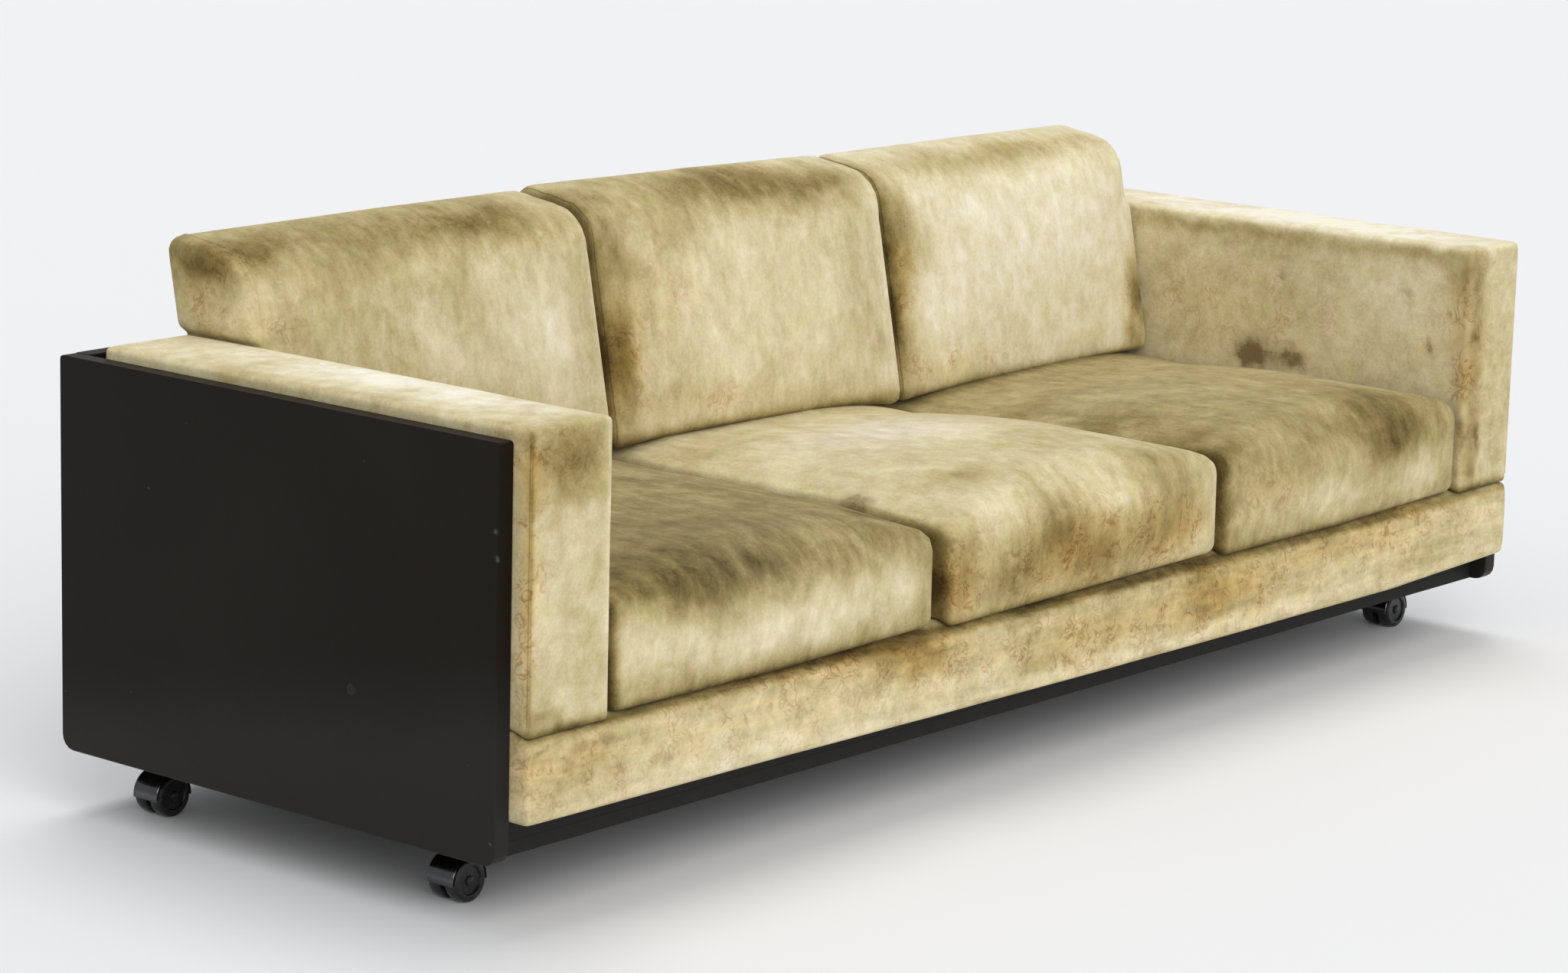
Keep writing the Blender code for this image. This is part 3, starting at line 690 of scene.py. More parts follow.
def seat_cover(seat):
    """A boxed seat cushion: one wrap over the rolled front, closed by two end panels."""
    low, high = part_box(f"{seat}_seat_cushion")
    x_low, x_high = SEAT_ENDS[seat]
    cover = block(
        f"{seat}_seat_cover",
        (x_low + SEAT_INSET, low.y + SEAT_INSET, low.z + CLEARANCE),
        (x_high - SEAT_INSET, high.y - SEAT_INSET, high.z - SEAT_INSET),
    )
    roll_edge(cover, True, True, SEAT_FRONT_ROLL, 10)
    roll_edge(cover, True, False, SEAT_LOW_ROLL, 4)
    roll_edge(cover, False, True, SEAT_REAR_ROLL, 5)
    roll_edge(cover, False, False, SEAT_LOW_ROLL, 4)
    soften_ends(cover, SEAT_END_ROUND)
    apply_modifier(cover, "REMESH", mode="VOXEL", voxel_size=CUSHION_VOXEL)
    points = read_points(cover)
    middle = (x_low + x_high) / 2
    across = (points[:, 0] - middle) / (x_high - x_low) * 2
    upper = rise(points[:, 2], low.z + SEAT_BOTTOM, high.z)
    crown = SEAT_CROWN[seat] * (1 - across**4) * rise(-points[:, 1], *CROWN_DEPTHS)
    slack = rise(-points[:, 1], *SAG_DEPTHS) * upper
    for place, reach, drop in SEAT_SAG.get(seat, ()):
        points[:, 2] -= drop * slack * np.exp(-(((points[:, 0] - place) / reach) ** 2))
    crown -= SEAT_END_DROP * across**6 * (0.6 + 0.4 * rise(-points[:, 1], *END_DROP_DEPTHS))
    crown -= sunk(points) * rise(points[:, 1], *SUNK_REAR_DEPTHS)
    points[:, 2] += upper * crown
    write_points(cover, points)
    deck = [height - low.z for height in HELD_HEIGHTS]
    on_deck = rise(-points[:, 2], *deck)
    swell(cover, np.maximum(rise(abs(across), *HELD_SHARES), on_deck))
    apply_modifier(cover, "SMOOTH", factor=0.5, iterations=2)
    points = read_points(cover)
    points[:, 0] = np.clip(points[:, 0], x_low, x_high)
    points[:, 1] = np.clip(points[:, 1], low.y - SEAT_FRONT_SPARE, high.y)
    top = high.z - CLEARANCE + SEAT_TOP_SPARE * rise(-points[:, 1], *TOP_SPARE_DEPTHS)
    points[:, 2] = np.clip(points[:, 2], low.z + CLEARANCE, top)
    hang_over_rail(points, low.z, np.interp(across, (-1, 0, 1), SEAT_DROOP[seat]))
    write_points(cover, points)
    apply_modifier(cover, "SUBSURF", levels=1, render_levels=1)
    paint_pile_and_light(cover, cover.name)
    dress(cover, CUSHION_VELVET, f"{seat}_seat_cushion")
    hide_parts(f"{seat}_seat_cushion")
    for end, x in (("left", x_low + SEAT_INSET), ("right", x_high - SEAT_INSET)):
        end_seam(cover, f"{seat}_seat_{end}_seam", x, f"{seat}_seat_cushion")


def back_rest_front(height):
    """Depth of the leaning back rest's front at a height."""
    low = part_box("back_rest_board")[0]
    return low.y + BACK_LEAN * (height - low.z)


def back_cover(seat):
    """A boxed back cushion that leans on the back rest."""
    low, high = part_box(f"{seat}_back_cushion")
    x_low, x_high = BACK_ENDS[seat]
    height = high.z - low.z
    thickness = BACK_THICKNESS[seat]
    cover = block(
        f"{seat}_back_cover",
        (x_low + BACK_INSET, -thickness, 0.0),
        (x_high - BACK_INSET, -BACK_INSET, height - BACK_INSET),
    )

    def top_front(first, second):
        return along_x(first, second) and first.y < -thickness / 2 and first.z > height / 2

    edit(cover, "EDGE", top_front, bpy.ops.transform.translate, value=(0, 0, -BACK_TOP_SLOPE))
    roll_edge(cover, True, True, BACK_FRONT_ROLL, 9)
    roll_edge(cover, False, True, BACK_REAR_ROLL, 7)
    roll_edge(cover, True, False, BACK_LOW_ROLL, 4)
    roll_edge(cover, False, False, BACK_LOW_ROLL, 4)
    soften_ends(cover, BACK_END_ROUND)
    apply_modifier(cover, "REMESH", mode="VOXEL", voxel_size=CUSHION_VOXEL)
    points = read_points(cover)
    middle = (x_low + x_high) / 2
    across = (points[:, 0] - middle) / (x_high - x_low) * 2
    up = points[:, 2] / height * 2 - 1
    front = rise(-points[:, 1], 0.3 * thickness, thickness)
    points[:, 1] -= BACK_BULGE * front * (1 - across**4) * (1 - up**4)
    points[:, 2] *= 1 + np.interp(across, (-1, 1), BACK_TOP_RISE[seat]) / height
    write_points(cover, points)
    on_seat = rise(-points[:, 2], *HELD_HEIGHTS)
    swell(cover, np.maximum(rise(abs(across), *HELD_SHARES), on_seat))
    apply_modifier(cover, "SMOOTH", factor=0.5, iterations=2)
    points = read_points(cover)
    points[:, 0] = np.clip(points[:, 0], x_low, x_high)
    points[:, 1] = np.minimum(points[:, 1], -CLEARANCE)
    points[:, 2] = np.maximum(points[:, 2], CLEARANCE) + low.z
    lowest = rise(-points[:, 2], -low.z - BACK_LOW_REACH, -low.z)
    points[:, 2] -= (BACK_LOW_DROP * across**6 + sunk(points)) * lowest
    free = rise(points[:, 2], *OVER_ARM_HEIGHTS)
    points[:, 0] += BACK_OVERHANG[seat] * free * rise(abs(points[:, 0]), *OVER_ARM_PLACES)
    points[:, 1] += back_rest_front(points[:, 2])
    write_points(cover, points)
    apply_modifier(cover, "SUBSURF", levels=1, render_levels=1)
    paint_pile_and_light(cover, cover.name)
    dress(cover, CUSHION_VELVET, f"{seat}_back_cushion")
    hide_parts(f"{seat}_back_cushion")
    for end, x in (("left", x_low + BACK_SEAM_INSET), ("right", x_high - BACK_SEAM_INSET)):
        end_seam(cover, f"{seat}_back_{end}_seam", x, f"{seat}_back_cushion")


def rounded(name, low, high, radius):
    """A block with round edges and an even grid of faces."""
    piece = block(name, low, high)
    edit(piece, "EDGE", every_edge, bpy.ops.mesh.bevel, offset=radius, segments=4)
    fine_grid(piece, PAD_STEP)
    return piece


def arm_cover(side, sign):
    """Velvet stretched over a foam arm, with slightly full faces, around its board."""
    low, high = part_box(f"{side}_arm_pad")
    if sign > 0:
        low.x += ARM_SLIM[side]
    else:
        high.x -= ARM_SLIM[side]
    cover = rounded(f"{side}_arm_cover", low, high, ARM_ROUND)
    points = read_points(cover)
    middle = (np.array(low) + np.array(high)) / 2
    half = (np.array(high) - np.array(low)) / 2
    share = (points - middle) / half
    dents = ARM_DENTS * ripples(points, ARM_DENT_SCALE, 3.0 * sign)
    inner = np.clip(-sign * share[:, 0], 0, 1) ** 8
    full = PAD_FULLNESS * (1 - share[:, 1] ** 4) * (1 - share[:, 2] ** 4)
    points[:, 0] -= sign * inner * (full + dents)
    upper = np.clip(share[:, 2], 0, 1) ** 8
    full = ARM_TOP_FULLNESS * (1 - share[:, 0] ** 4) * (1 - share[:, 1] ** 6)
    points[:, 2] += upper * (full + dents)
    points[:, 0] = np.clip(points[:, 0], low.x - PAD_FULLNESS, high.x + PAD_FULLNESS)
    hang_over_rail(points, low.z, ARM_DROOP[side])
    write_points(cover, points)
    apply_modifier(cover, "SUBSURF", levels=1, render_levels=1)
    board_low, board_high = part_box(f"{side}_arm_board")
    past = Vector((PAST_PAD, 0, 0))
    recess_low = board_low - SPARE - (past if sign < 0 else Vector())
    recess_high = board_high + SPARE + (past if sign > 0 else Vector())
    hollow(cover, recess_low, recess_high)
    paint_pile_and_light(cover, cover.name)
    dress(cover, ARM_VELVET, "frame")
    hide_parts(f"{side}_arm_pad")
    arm_seam(cover, side, sign)


def arm_seam(cover, side, sign):
    """The seam down the outer corner of an arm's front."""
    low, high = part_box(f"{side}_arm_pad")
    corner = low.x if sign < 0 else high.x
    way = Vector((sign, -1, 0)).normalized()
    rim = []
    for height in np.linspace(low.z + SEAM_END_GAP, high.z - SEAM_END_GAP, SEAM_STEPS // 4):
        start = Vector((corner - sign * SEAM_DEPTH, low.y + SEAM_DEPTH, height))
        met, place = cover.ray_cast(start, way)[:2]
        if met:
            rim.append(place)
    bead(f"{side}_arm_seam", rim, False, cover.name, ARM_VELVET, "frame")


def rail_cover():
    """Velvet stretched over the foam front rail, around its board."""
    low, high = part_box("front_rail_pad")
    cover = rounded("front_rail_cover", low, high, RAIL_ROUND)
    points = read_points(cover)
    share = (points[:, 2] - (low.z + high.z) / 2) / (high.z - low.z) * 2
    front = rise(-points[:, 1], -low.y - FACE_REACH, -low.y)
    dents = RAIL_DENTS * ripples(points, RAIL_DENT_SCALE)
    points[:, 1] -= front * (PAD_FULLNESS * (1 - share**4) + dents)
    top_drop = np.interp(points[:, 0], RAIL_PLACES, RAIL_TOP_DROP) * rise(-points[:, 1], *HANG_DEPTHS)
    low_drop = np.interp(points[:, 0], RAIL_PLACES, RAIL_LOW_DROP)
    points[:, 2] -= low_drop + (top_drop - low_drop) * (1 + share) / 2
    write_points(cover, points)
    apply_modifier(cover, "SUBSURF", levels=1, render_levels=1)
    board_low, board_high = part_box("front_rail_board")
    hollow(cover, board_low - SPARE, board_high + SPARE + Vector((0, PAST_PAD, 0)))
    paint_pile_and_light(cover, cover.name)
    dress(cover, RAIL_VELVET, "frame")
    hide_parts("front_rail_pad")


def back_rest_cover():
    """Velvet over the leaning board behind the back cushions."""
    low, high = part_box("back_rest_board")
    thickness = high.y - low.y - BACK_LEAN * (high.z - low.z)
    cover = block("back_rest_cover", (low.x, 0, low.z), (high.x, thickness, high.z))
    edit(cover, "EDGE", every_edge, bpy.ops.mesh.bevel, offset=BACK_REST_ROUND, segments=3)
    fine_grid(cover, BACK_REST_STEP)
    points = read_points(cover)
    points[:, 1] += back_rest_front(points[:, 2])
    write_points(cover, points)
    paint_pile_and_light(cover, cover.name)
    dress(cover, ARM_VELVET, "frame")
    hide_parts("back_rest_board")


class Shade:
    """One value of a finish's nodes. Python's operators on it add Math nodes."""

    def __init__(self, finish, socket):
        self.finish = finish
        self.socket = socket

    def math(self, operation, *values):
        return self.finish.node("ShaderNodeMath", {"operation": operation}, dict(enumerate(values)))

    def __add__(self, other):
        return self.math("ADD", self, other)

    def __sub__(self, other):
        return self.math("SUBTRACT", self, other)

    def __rsub__(self, other):
        return self.math("SUBTRACT", other, self)

    def __mul__(self, other):
        return self.math("MULTIPLY", self, other)

    def __abs__(self):
        return self.math("ABSOLUTE", self)

    __radd__ = __add__
    __rmul__ = __mul__

    def step(self, start, end):
        """A smooth step from 0 at start to 1 at end."""
        settings = {"interpolation_type": "SMOOTHSTEP"}
        return self.finish.node("ShaderNodeMapRange", settings, {0: self, 1: start, 2: end})

    def stretched(self, scale):
        """A place scaled axis by axis."""
        settings = {"operation": "MULTIPLY"}
        return self.finish.node("ShaderNodeVectorMath", settings, {0: self, 1: scale})


class Finish:
    """A material under construction: a Principled shader and the nodes that feed it."""

    def __init__(self, name):
        self.material = bpy.data.materials.new(name)
        self.material.use_nodes = True
        self.tree = self.material.node_tree
        self.shader = self.tree.nodes["Principled BSDF"]

    def node(self, kind, settings=None, inputs=None, output=0):
        """Adds a node with its settings, and with a value or a link for each named socket."""
        made = self.tree.nodes.new(kind)
        for name, value in (settings or {}).items():
            if name == "stops":
                self.set_stops(made.color_ramp.elements, value)
            else:
                setattr(made, name, value)
        for name, value in (inputs or {}).items():
            self.feed(made.inputs[name], value)
        return Shade(self, made.outputs[output])

    def set_stops(self, elements, stops):
        while len(elements) < len(stops):
            elements.new(1.0)
        for element, (position, colour) in zip(elements, stops):
            element.position = position
            element.color = (*colour, 1.0)

    def feed(self, socket, value):
        if isinstance(value, Shade):
            self.tree.links.new(value.socket, socket)
        elif socket.type == "RGBA":
            socket.default_value = (*value, 1.0)
        else:
            socket.default_value = value

    def place(self):
        return self.node("ShaderNodeTexCoord", output="Object")

    def painted(self, name):
        return self.node("ShaderNodeAttribute", {"attribute_name": name}, output="Fac")

    def noise(self, place, scale, detail=2.0, roughness=0.5, distortion=0.0):
        inputs = {
            "Vector": place,
            "Scale": scale,
            "Detail": detail,
            "Roughness": roughness,
            "Distortion": distortion,
        }
        return self.node("ShaderNodeTexNoise", {}, inputs)

    def ramp(self, value, stops):
        return self.node("ShaderNodeValToRGB", {"stops": stops}, {0: value})

    def mix(self, factor, first, second, blend="MIX"):
        settings = {"data_type": "RGBA", "blend_type": blend}
        return self.node("ShaderNodeMix", settings, {0: factor, 6: first, 7: second}, 2)

    def bump(self, height, strength, distance):
        inputs = {"Height": height, "Strength": strength, "Distance": distance}
        return self.node("ShaderNodeBump", {}, inputs)

    def set(self, **sockets):
        """Feeds the shader's sockets, with spaces in their names written as underscores."""
        for name, value in sockets.items():
            self.feed(self.shader.inputs[name.replace("_", " ")], value)
        return self.material


# Tones of the velvet, from pile that lies away from the light to pile that faces it
VELVET_TONES = (
    (0.0, (0.040, 0.025, 0.007)),
    (0.2, (0.092, 0.064, 0.018)),
    (0.4, (0.256, 0.195, 0.073)),
    (0.6, (0.480, 0.395, 0.198)),
    (0.8, (0.715, 0.635, 0.415)),
    (1.0, (0.920, 0.880, 0.740)),
)


def velvet(name, fall, fall_scale, streak_share, patch_scale, patch_share):
    """Worn velvet: light and dark pile with painted shade and highlights, streaks along its fall,
    patches, crushed flecks and grain.
    """
    finish = Finish(name)
    place = finish.place()
    clouds = finish.noise(place, 8.0, 3.0, 0.6, 0.8)
    patches = finish.noise(place.stretched(patch_scale), 1.0, 4.0, 0.68, 0.25)
    grain = finish.noise(place, 230.0, 2.0, 0.6)
    pile = finish.noise(place, 1300.0, 1.0, 0.5)
    turned = {"Vector": place, "Rotation": fall, "Scale": fall_scale}
    along = finish.node("ShaderNodeMapping", {}, turned)
    streaks = finish.noise(along, 1.0, 3.0, 0.55, 0.5)
    hues = finish.noise(place, 24.0, 3.0, 0.6, 0.4)
    crush = finish.noise(place, 40.0, 2.0, 0.6, 1.2)
    # The painted lie of the pile also carries painted shade in gaps and painted highlights on lit edges
    # and tops
    nap = finish.painted("nap")
    lie_and_light = nap + (clouds - 0.5) * 0.42 + (patches - 0.5) * patch_share + (grain - 0.5) * 0.22
    lie_and_light = lie_and_light + (streaks - 0.5) * (1.5 - nap) * streak_share
    colour = finish.ramp(lie_and_light * 0.667 + 0.2, VELVET_TONES)
    warmth = finish.painted("warmth") + (clouds - 0.5) * 0.8 + (streaks - 0.5) * streak_share * 2.0
    colour = finish.mix(warmth.step(0.0, 1.2), colour, (1.02, 0.86, 0.62), "MULTIPLY")
    colour = finish.mix((0.0 - warmth).step(0.0, 1.0), colour, (0.95, 0.98, 1.25), "MULTIPLY")
    colour = finish.mix(hues.step(0.55, 0.75), colour, (1.03, 0.97, 1.05), "MULTIPLY")
    colour = finish.mix(hues.step(0.45, 0.25), colour, (0.95, 1.00, 0.84), "MULTIPLY")
    flecks = abs(crush - 0.5).step(0.07, 0.0) * hues.step(0.42, 0.60)
    flecks = flecks * finish.painted("warmth").step(-0.1, 0.7)
    colour = finish.mix(flecks * 0.8, colour, (0.60, 0.46, 0.30), "MULTIPLY")
    stain = finish.painted("stain") * (patches * 1.6 + grain * 0.8 - 0.2)
    colour = finish.mix(stain.step(0.14, 0.85) * 0.85, colour, (0.135, 0.080, 0.022))
    height = patches * 0.40 + streaks * 0.10 + grain * 0.30 + pile * 0.20
    return finish.set(
        Base_Color=colour,
        Roughness=0.80 + grain * 0.12,
        Normal=finish.bump(height, 0.30, 0.004),
        Sheen_Weight=0.16,
        Sheen_Roughness=0.35,
        Sheen_Tint=(1.0, 0.88, 0.60),
        Specular_IOR_Level=0.12,
    )


# Softwood between its growth bands and in them
PALE_WOOD = (0.46, 0.30, 0.16)
DARK_WOOD = (0.30, 0.17, 0.075)

# Small pale spots on the left end panel's lacquer, with their size
LACQUER_PALE_SPOTS = (
    ((-1.125, -0.372, 0.500), 0.0070),
    ((-1.125, -0.375, 0.467), 0.0080),
    ((-1.125, -0.369, 0.116), 0.0050),
    ((-1.125, -0.225, 0.084), 0.0050),
)


def black_lacquer():
    """Satin lacquer with a faint ripple, a foot greyed by a painted reflection of the floor, specks and
    small pale spots.
    """
    finish = Finish("black_lacquer")
    place = finish.place()
    haze = finish.noise(place, 3.0, 4.0, 0.6, 0.5)
    rub = finish.noise(place, 60.0, 3.0, 0.7)
    ragged = finish.noise(place, 320.0, 2.0, 0.6)
    spots = 0.0
    for centre, reach in LACQUER_PALE_SPOTS:
        settings = {"operation": "DISTANCE"}
        away = finish.node("ShaderNodeVectorMath", settings, {0: place, 1: centre}, "Value")
        spots = spots + (away + ragged * reach).step(reach * 1.15, reach * 0.6)
    dust = finish.noise(place, 95.0, 1.0, 0.4).step(0.80, 0.84)
    colour = finish.mix(haze.step(0.35, 0.75), (0.0066, 0.0050, 0.0036), (0.0092, 0.0074, 0.0056))
    # Painted reflection of the pale floor: the lacquer greyer towards the panel's foot and front
    height = finish.node("ShaderNodeSeparateXYZ", {}, {0: place}, "Z")
    depth = finish.node("ShaderNodeSeparateXYZ", {}, {0: place}, "Y")
    painted_floor_reflection = (height + depth * 0.19).step(0.29, 0.15)
    colour = finish.mix(painted_floor_reflection * (haze + 0.4), colour, (0.0190, 0.0180, 0.0172))
    colour = finish.mix(dust * 0.6, colour, (0.075, 0.068, 0.060))
    colour = finish.mix(spots * rub, colour, (0.120, 0.112, 0.105))
    return finish.set(
        Base_Color=colour,
        Roughness=0.34 + haze * 0.10 + rub * 0.08,
        Specular_IOR_Level=0.11,
        Specular_Tint=(1.0, 0.90, 0.80),
        Normal=finish.bump(finish.noise(place, 45.0, 2.0), 0.03, 0.002),
    )


def black_paint():
    """Thin brushed paint over board, with the fibres showing."""
    finish = Finish("black_paint")
    place = finish.place()
    brush = finish.noise(place.stretched((2.0, 60.0, 60.0)), 2.0, 4.0, 0.65)
    dust = finish.noise(place, 240.0, 2.0, 0.7).step(0.55, 0.85)
    colour = finish.mix(brush, (0.0060, 0.0057, 0.0055), (0.0150, 0.0142, 0.0135))
    colour = finish.mix(dust * 0.18, colour, (0.06, 0.057, 0.052))
    return finish.set(
        Base_Color=colour,
        Roughness=0.55 + brush * 0.25,
        Specular_IOR_Level=0.25,
        Normal=finish.bump(brush, 0.15, 0.002),
    )


def timber(name, grain_scale):
    """Planed softwood: long grain and growth bands."""
    finish = Finish(name)
    place = finish.place()
    bands = finish.noise(place.stretched(grain_scale), 3.0, 3.0, 0.55, 1.2)
    fibre = finish.noise(place.stretched(grain_scale), 26.0, 3.0, 0.7)
    turns = bands * 9.0
    rings = abs(turns - turns.math("ROUND", turns)) * 2.0
    colour = finish.mix((rings * 0.6 + fibre * 0.5).step(0.2, 0.95), PALE_WOOD, DARK_WOOD)
    return finish.set(
        Base_Color=colour,
        Roughness=0.62 + fibre * 0.2,
        Normal=finish.bump(fibre, 0.2, 0.001),
    )


def webbing():
    """Rubberised webbing: a close weave with a little fuzz."""
    finish = Finish("webbing")
    place = finish.place()
    along = finish.node("ShaderNodeTexWave", {"bands_direction": "Y"}, {0: place, "Scale": 160.0})
    across = finish.node("ShaderNodeTexWave", {"bands_direction": "X"}, {0: place, "Scale": 110.0})
    fuzz = finish.noise(place, 700.0, 2.0, 0.6)
    weave = along.math("MAXIMUM", along, across)
    colour = finish.mix(weave * 0.8 + fuzz * 0.3, (0.10, 0.075, 0.045), (0.36, 0.29, 0.20))
    return finish.set(
        Base_Color=colour,
        Roughness=0.80 + fuzz * 0.15,
        Normal=finish.bump(weave, 0.5, 0.0006),
    )


def metal(name, dark, bright, roughness, brush_scale):
    """Metal with fine brushing and dull handled spots."""
    finish = Finish(name)
    place = finish.place()
    brush = finish.noise(place.stretched(brush_scale), 1.0, 3.0, 0.7)
    dull = finish.noise(place, 70.0, 3.0, 0.6)
    return finish.set(
        Base_Color=finish.mix(brush * 0.6 + dull * 0.4, dark, bright),
        Metallic=1.0,
        Roughness=roughness + brush * 0.08 + dull.step(0.4, 0.8) * 0.12,
        Normal=finish.bump(brush, 0.05, 0.0005),
    )


def moulded(name, dark, worn, roughness):
    """Moulded plastic with a fine skin and scuffs."""
    finish = Finish(name)
    place = finish.place()
    skin = finish.noise(place, 900.0, 2.0, 0.5)
    scuffs = finish.noise(place, 150.0, 4.0, 0.7, 0.6).step(0.52, 0.72)
    return finish.set(
        Base_Color=finish.mix(scuffs * 0.5, dark, worn),
        Roughness=roughness + scuffs * 0.25 + skin * 0.05,
        Specular_IOR_Level=0.5,
        Normal=finish.bump(skin, 0.06, 0.0004),
    )


def pale_floor():
    """An even pale studio floor with the faintest mottling."""
    finish = Finish("pale_floor")
    mottle = finish.noise(finish.place(), 1.5, 3.0)
    colour = finish.mix(mottle, (0.815, 0.813, 0.815), (0.825, 0.823, 0.825))
    return finish.set(Base_Color=colour, Roughness=0.9, Specular_IOR_Level=0.1)


def ring(inner, outer, half_width):
    """The closed profile of a flat ring."""
    return (
        (inner, -half_width),
        (outer, -half_width),
        (outer, half_width),
        (inner, half_width),
        (inner, -half_width),
    )


def lathe(name, profile, axis, angle=2 * math.pi, steps=48):
    """Spins a profile of radius and height pairs about an axis, evenly to both sides of the top."""
    side = Vector((0, 0, 1)) if axis == "Y" else Vector((1, 0, 0))
    shaft = Vector((0, 1, 0)) if axis == "Y" else Vector((0, 0, 1))
    turn = Matrix.Rotation(angle / 2, 3, axis)
    points = [turn @ (side * radius + shaft * height) for radius, height in profile]
    mesh = bpy.data.meshes.new(name)
    mesh.from_pydata(points, [(i, i + 1) for i in range(len(points) - 1)], [])
    piece = bpy.data.objects.new(name, mesh)
    bpy.context.scene.collection.objects.link(piece)
    activate(piece)
    bpy.ops.object.mode_set(mode="EDIT")
    bpy.ops.mesh.select_all(action="SELECT")
    bpy.ops.mesh.spin(steps=steps, angle=angle, center=(0, 0, 0), axis=shaft)
    bpy.ops.mesh.select_all(action="SELECT")
    bpy.ops.mesh.remove_doubles(threshold=1e-6)
    bpy.ops.mesh.fill_holes(sides=0)
    bpy.ops.mesh.normals_make_consistent(inside=False)
    bpy.ops.object.mode_set(mode="OBJECT")
    return piece


def join(name, pieces):
    activate(pieces[0])
    for piece in pieces:
        piece.select_set(True)
    bpy.ops.object.join()
    return named(name)


def wheel_model(radius, width):
    """One caster wheel, axle along Y, its dished face towards -Y: tyre, rim step and hub cap."""
    half = width / 2
    profile = (
        (0.0000, -half - 0.0012),
        (0.0035, -half - 0.0008),
        (0.0062, -half + 0.0006),
        (0.0070, -half + 0.0028),
        (0.0175, -half + 0.0030),
        (0.0188, -half + 0.0006),
        (0.0215, -half),
        (radius - 0.0038, -half + 0.0003),
        (radius - 0.0012, -half + 0.0018),
        (radius, -half + 0.0048),
        (radius, half - 0.0040),
        (radius - 0.0010, half - 0.0014),
        (radius - 0.0034, half),
        (0.0060, half),
        (0.0000, half),
    )
    return lathe("wheel", profile, "Y", steps=64)


def hood_model(radius, half_width, stem, neck_top, kingpin_top):
    """The half-round hood over both wheels, its web and its neck, axle along Y at the origin."""
    shell = (
        (radius - 0.0020, -half_width + 0.0004),
        (radius - 0.0012, -half_width),
        (radius - 0.0002, -half_width + 0.0010),
        (radius, -half_width + 0.0040),
        (radius, half_width - 0.0040),
        (radius - 0.0002, half_width - 0.0010),
        (radius - 0.0012, half_width),
        (radius - 0.0020, half_width - 0.0004),
        (radius - 0.0020, -half_width + 0.0004),
    )
    arch = lathe("arch", shell, "Y", math.radians(190), 40)
    web = lathe("web", ring(0.0040, radius - 0.0010, 0.0036), "Y", math.pi, 32)
    boss = lathe("boss", ring(0.0040, 0.0105, 0.0040), "Y")
    neck_profile = (
        (0.0000, 0.0200),
        (0.0135, 0.0220),
        (0.0125, 0.0290),
        (0.0100, 0.0335),
        (0.0090, 0.0380),
        (0.0090, neck_top - 0.0060),
        (0.0098, neck_top - 0.0055),
        (0.0098, neck_top - 0.0012),
        (0.0090, neck_top),
        (KINGPIN_RADIUS, neck_top),
        (KINGPIN_RADIUS, kingpin_top - 0.0010),
        (KINGPIN_RADIUS - 0.0010, kingpin_top),
        (0.0000, kingpin_top),
    )
    neck = lathe("neck", neck_profile, "Z", steps=40)
    activate(neck)
    bpy.ops.transform.translate(value=(stem, 0, 0))
    settle(neck)
    return join("hood", [arch, web, boss, neck])


def screw_model():
    """A domed screw head facing down, with a cross recess."""
    profile = (
        (0.0000, 0.0000),
        (0.0038, 0.0000),
        (0.0039, -0.0006),
        (0.0031, -0.0017),
        (0.0016, -0.0022),
        (0.0000, -0.0023),
    )
    head = lathe("screw", profile, "Z", steps=24)
    hollow(head, (-0.0018, -0.0004, -0.0030), (0.0018, 0.0004, -0.0012))
    hollow(head, (-0.0004, -0.0018, -0.0030), (0.0004, 0.0018, -0.0012))
    return head


def copy_of(model, name, turn, place):
    """A turned and placed copy with a mesh of its own."""
    piece = bpy.data.objects.new(name, model.data.copy())
    piece.data.name = name
    piece.data.transform(Matrix.Translation(place) @ Matrix.Rotation(turn, 4, "Z"))
    bpy.context.scene.collection.objects.link(piece)
    return piece


def dress_hard(piece, finish, body):
    """As dress, with sharp edges kept."""
    dress(piece, finish, body)
    activate(piece)
    bpy.ops.object.shade_smooth_by_angle(angle=SHARP_EDGE)


def casters():
    """Four twin-wheel casters from one set of models, with the screws of their plates."""
    wheel_low, wheel_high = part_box("front_left_caster_front_wheel")
    radius = (wheel_high.z - wheel_low.z) / 2
    axle_height = wheel_low.z + radius
    hood_low, hood_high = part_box("front_left_caster_hood")
    half_width = (hood_high.y - hood_low.y) / 2
    plate_low, plate_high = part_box("front_left_caster_plate")
    axle_x = (wheel_low.x + wheel_high.x) / 2
    stem = abs((plate_low.x + plate_high.x) / 2 - axle_x)
    wheel = wheel_model(radius, wheel_high.y - wheel_low.y)
    neck_top = plate_low.z - PLATE_GAP - axle_height
    hood = hood_model(radius + HOOD_GAP, half_width, stem, neck_top, hood_high.z - axle_height)
    screw = screw_model()
    for caster in CASTERS:
        low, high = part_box(f"{caster}_caster_plate")
        middle = (low + high) / 2
        outward = -1 if middle.x < 0 else 1
        turn = 0.0 if outward < 0 else math.pi
        axle = Vector((middle.x + outward * stem, middle.y, axle_height))
        shell = copy_of(hood, f"{caster}_caster_hood_shell", turn, axle)
        dress_hard(shell, HOOD_METAL, f"{caster}_caster")
        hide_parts(f"{caster}_caster_hood")
        for end, flip in (("front", 0.0), ("rear", math.pi)):
            node = f"{caster}_caster_{end}_wheel"
            low_wheel, high_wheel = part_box(node)
            piece = copy_of(wheel, f"{node}_moulding", flip, (low_wheel + high_wheel) / 2)
            dress_hard(piece, WHEEL_PLASTIC, node)
            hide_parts(node)
        screws = []
        for x in (low.x + SCREW_INSET, high.x - SCREW_INSET):
            for y in (low.y + SCREW_INSET, high.y - SCREW_INSET):
                screws.append(copy_of(screw, "screw", SCREW_TURN, Vector((x, y, low.z))))
        heads = join(f"{caster}_caster_plate_screws", screws)
        dress_hard(heads, STEEL, "frame")
    for model in (wheel, hood, screw):
        bpy.data.objects.remove(model, do_unlink=True)


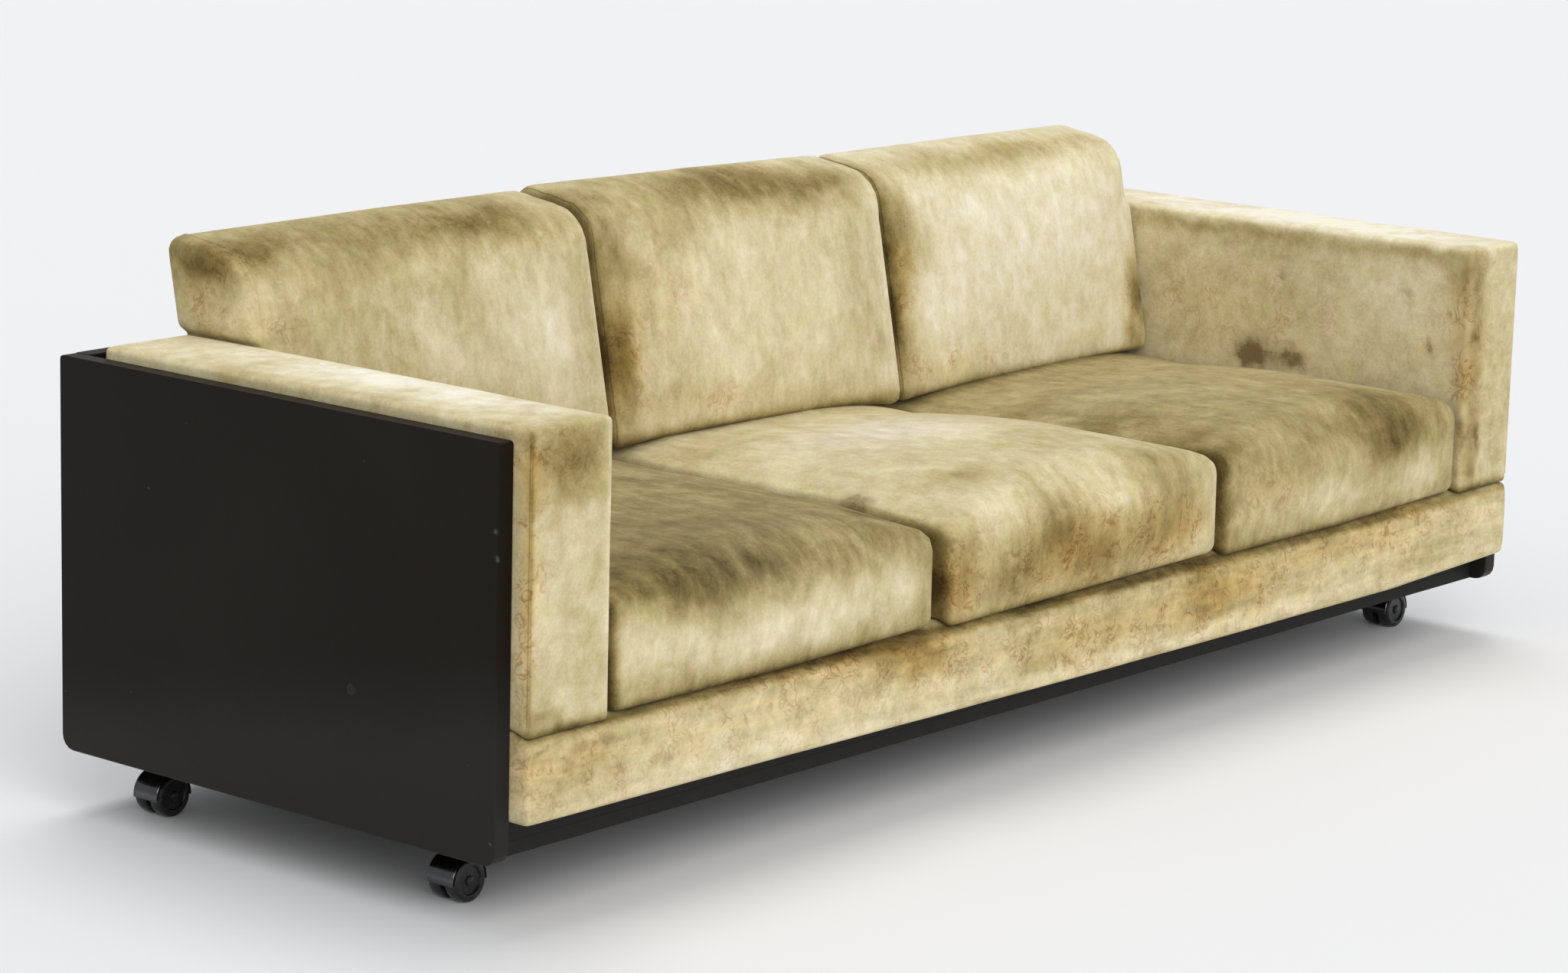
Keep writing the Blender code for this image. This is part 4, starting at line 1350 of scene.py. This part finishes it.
def camera():
    """The view of the sofa, from its place, yaw, pitch and roll."""
    sight = Vector(
        (
            math.sin(CAMERA_YAW) * math.cos(CAMERA_PITCH),
            math.cos(CAMERA_YAW) * math.cos(CAMERA_PITCH),
            -math.sin(CAMERA_PITCH),
        )
    )
    level = Vector((math.cos(CAMERA_YAW), -math.sin(CAMERA_YAW), 0))
    fall = sight.cross(level)
    right = math.cos(CAMERA_ROLL) * level + math.sin(CAMERA_ROLL) * fall
    down = math.cos(CAMERA_ROLL) * fall - math.sin(CAMERA_ROLL) * level
    data = bpy.data.cameras.new("camera")
    data.sensor_width = 36.0
    data.lens = FOCAL_PIXELS * data.sensor_width / FRAME_WIDTH
    eye = bpy.data.objects.new("camera", data)
    turn = Matrix((right, -down, -sight)).transposed().to_4x4()
    eye.matrix_world = Matrix.Translation(CAMERA_PLACE) @ turn
    bpy.context.scene.collection.objects.link(eye)
    bpy.context.scene.camera = eye


def soft_light(name, energy, spread, towards):
    """A broad soft light in a direction from the sofa."""
    light = bpy.data.lights.new(name, "SUN")
    light.energy = energy
    light.angle = math.radians(spread)
    lamp = bpy.data.objects.new(name, light)
    lamp.rotation_euler = towards.to_track_quat("Z", "Y").to_euler()
    bpy.context.scene.collection.objects.link(lamp)


def studio():
    """A pale floor under two broad soft lights and an even sky."""
    scene = bpy.context.scene
    scene.view_settings.view_transform = "Standard"
    world = bpy.data.worlds.new("studio")
    scene.world = world
    world.use_nodes = True
    sky = world.node_tree.nodes["Background"]
    sky.inputs["Color"].default_value = (0.96, 0.975, 1.0, 1.0)
    sky.inputs["Strength"].default_value = 0.54
    soft_light("overhead", 0.90, 30, Vector((0.24, 0.20, 1.0)))
    soft_light("front", 1.66, 56, Vector((-0.40, -0.80, 0.60)))
    deselect()
    bpy.ops.mesh.primitive_plane_add(size=80)
    floor = named("floor")
    floor.data.materials.append(pale_floor())


def refinish(finish, *nodes):
    """Gives a solid that stays its finish."""
    for node in nodes:
        NODES[node].data.materials.clear()
        NODES[node].data.materials.append(finish)


def refinish_frame():
    """Finishes of the boards, rails, straps, plates and bolts that keep their solids."""
    refinish(black_lacquer(), "left_end_panel", "right_end_panel", "back_panel")
    refinish(black_paint(), "base_board", "seat_front_rail", "left_arm_board", "right_arm_board")
    rails = timber("timber", (2.0, 14.0, 14.0))
    crossing = timber("timber_across", (14.0, 2.0, 14.0))
    refinish(rails, "seat_rear_rail", "front_rail_board")
    refinish(crossing, "seat_left_rail", "seat_right_rail")
    refinish(crossing, "seat_left_cross_rail", "seat_right_cross_rail")
    straps = webbing()
    for side in SIDES:
        refinish(crossing, f"back_strut_{side}_inner", f"back_strut_{side}_outer")
        refinish(BOLT_STEEL, f"{side}_panel_bolt")
        for seat in SEATS:
            refinish(straps, f"{seat}_seat_{side}_strap")
    for caster in CASTERS:
        refinish(STEEL, f"{caster}_caster_plate", f"{caster}_caster_axle")


# Without a seed, the noise that breaks up the marks would differ from run to run
noise.seed_set(WAVE_SEED)
camera()
CUSHION_VELVET = velvet("cushion_velvet", (0, 0, 0), (46.0, 7.0, 8.0), 0.24, (44.0, 30.0, 30.0), 0.54)
ARM_VELVET = velvet("arm_velvet", (0, 0, 0), (30.0, 30.0, 9.0), 0.10, (38.0, 38.0, 38.0), 0.58)
RAIL_VELVET = velvet("rail_velvet", (0, 0.6, 0), (12.0, 40.0, 66.0), 0.70, (38.0, 38.0, 38.0), 0.56)
STEEL = metal("steel", (0.30, 0.30, 0.31), (0.55, 0.55, 0.56), 0.25, (300.0, 20.0, 20.0))
BOLT_STEEL = metal("bolt_steel", (0.010, 0.010, 0.011), (0.05, 0.05, 0.052), 0.30, (90.0, 90.0, 90.0))
HOOD_METAL = metal("hood_metal", (0.05, 0.05, 0.052), (0.14, 0.14, 0.145), 0.14, (20.0, 400.0, 20.0))
WHEEL_PLASTIC = moulded("wheel_plastic", (0.008, 0.008, 0.009), (0.05, 0.048, 0.045), 0.22)
studio()
for seat_name in SEATS:
    seat_cover(seat_name)
    back_cover(seat_name)
for side_name, side_sign in SIDES.items():
    arm_cover(side_name, side_sign)
rail_cover()
back_rest_cover()
casters()
refinish_frame()
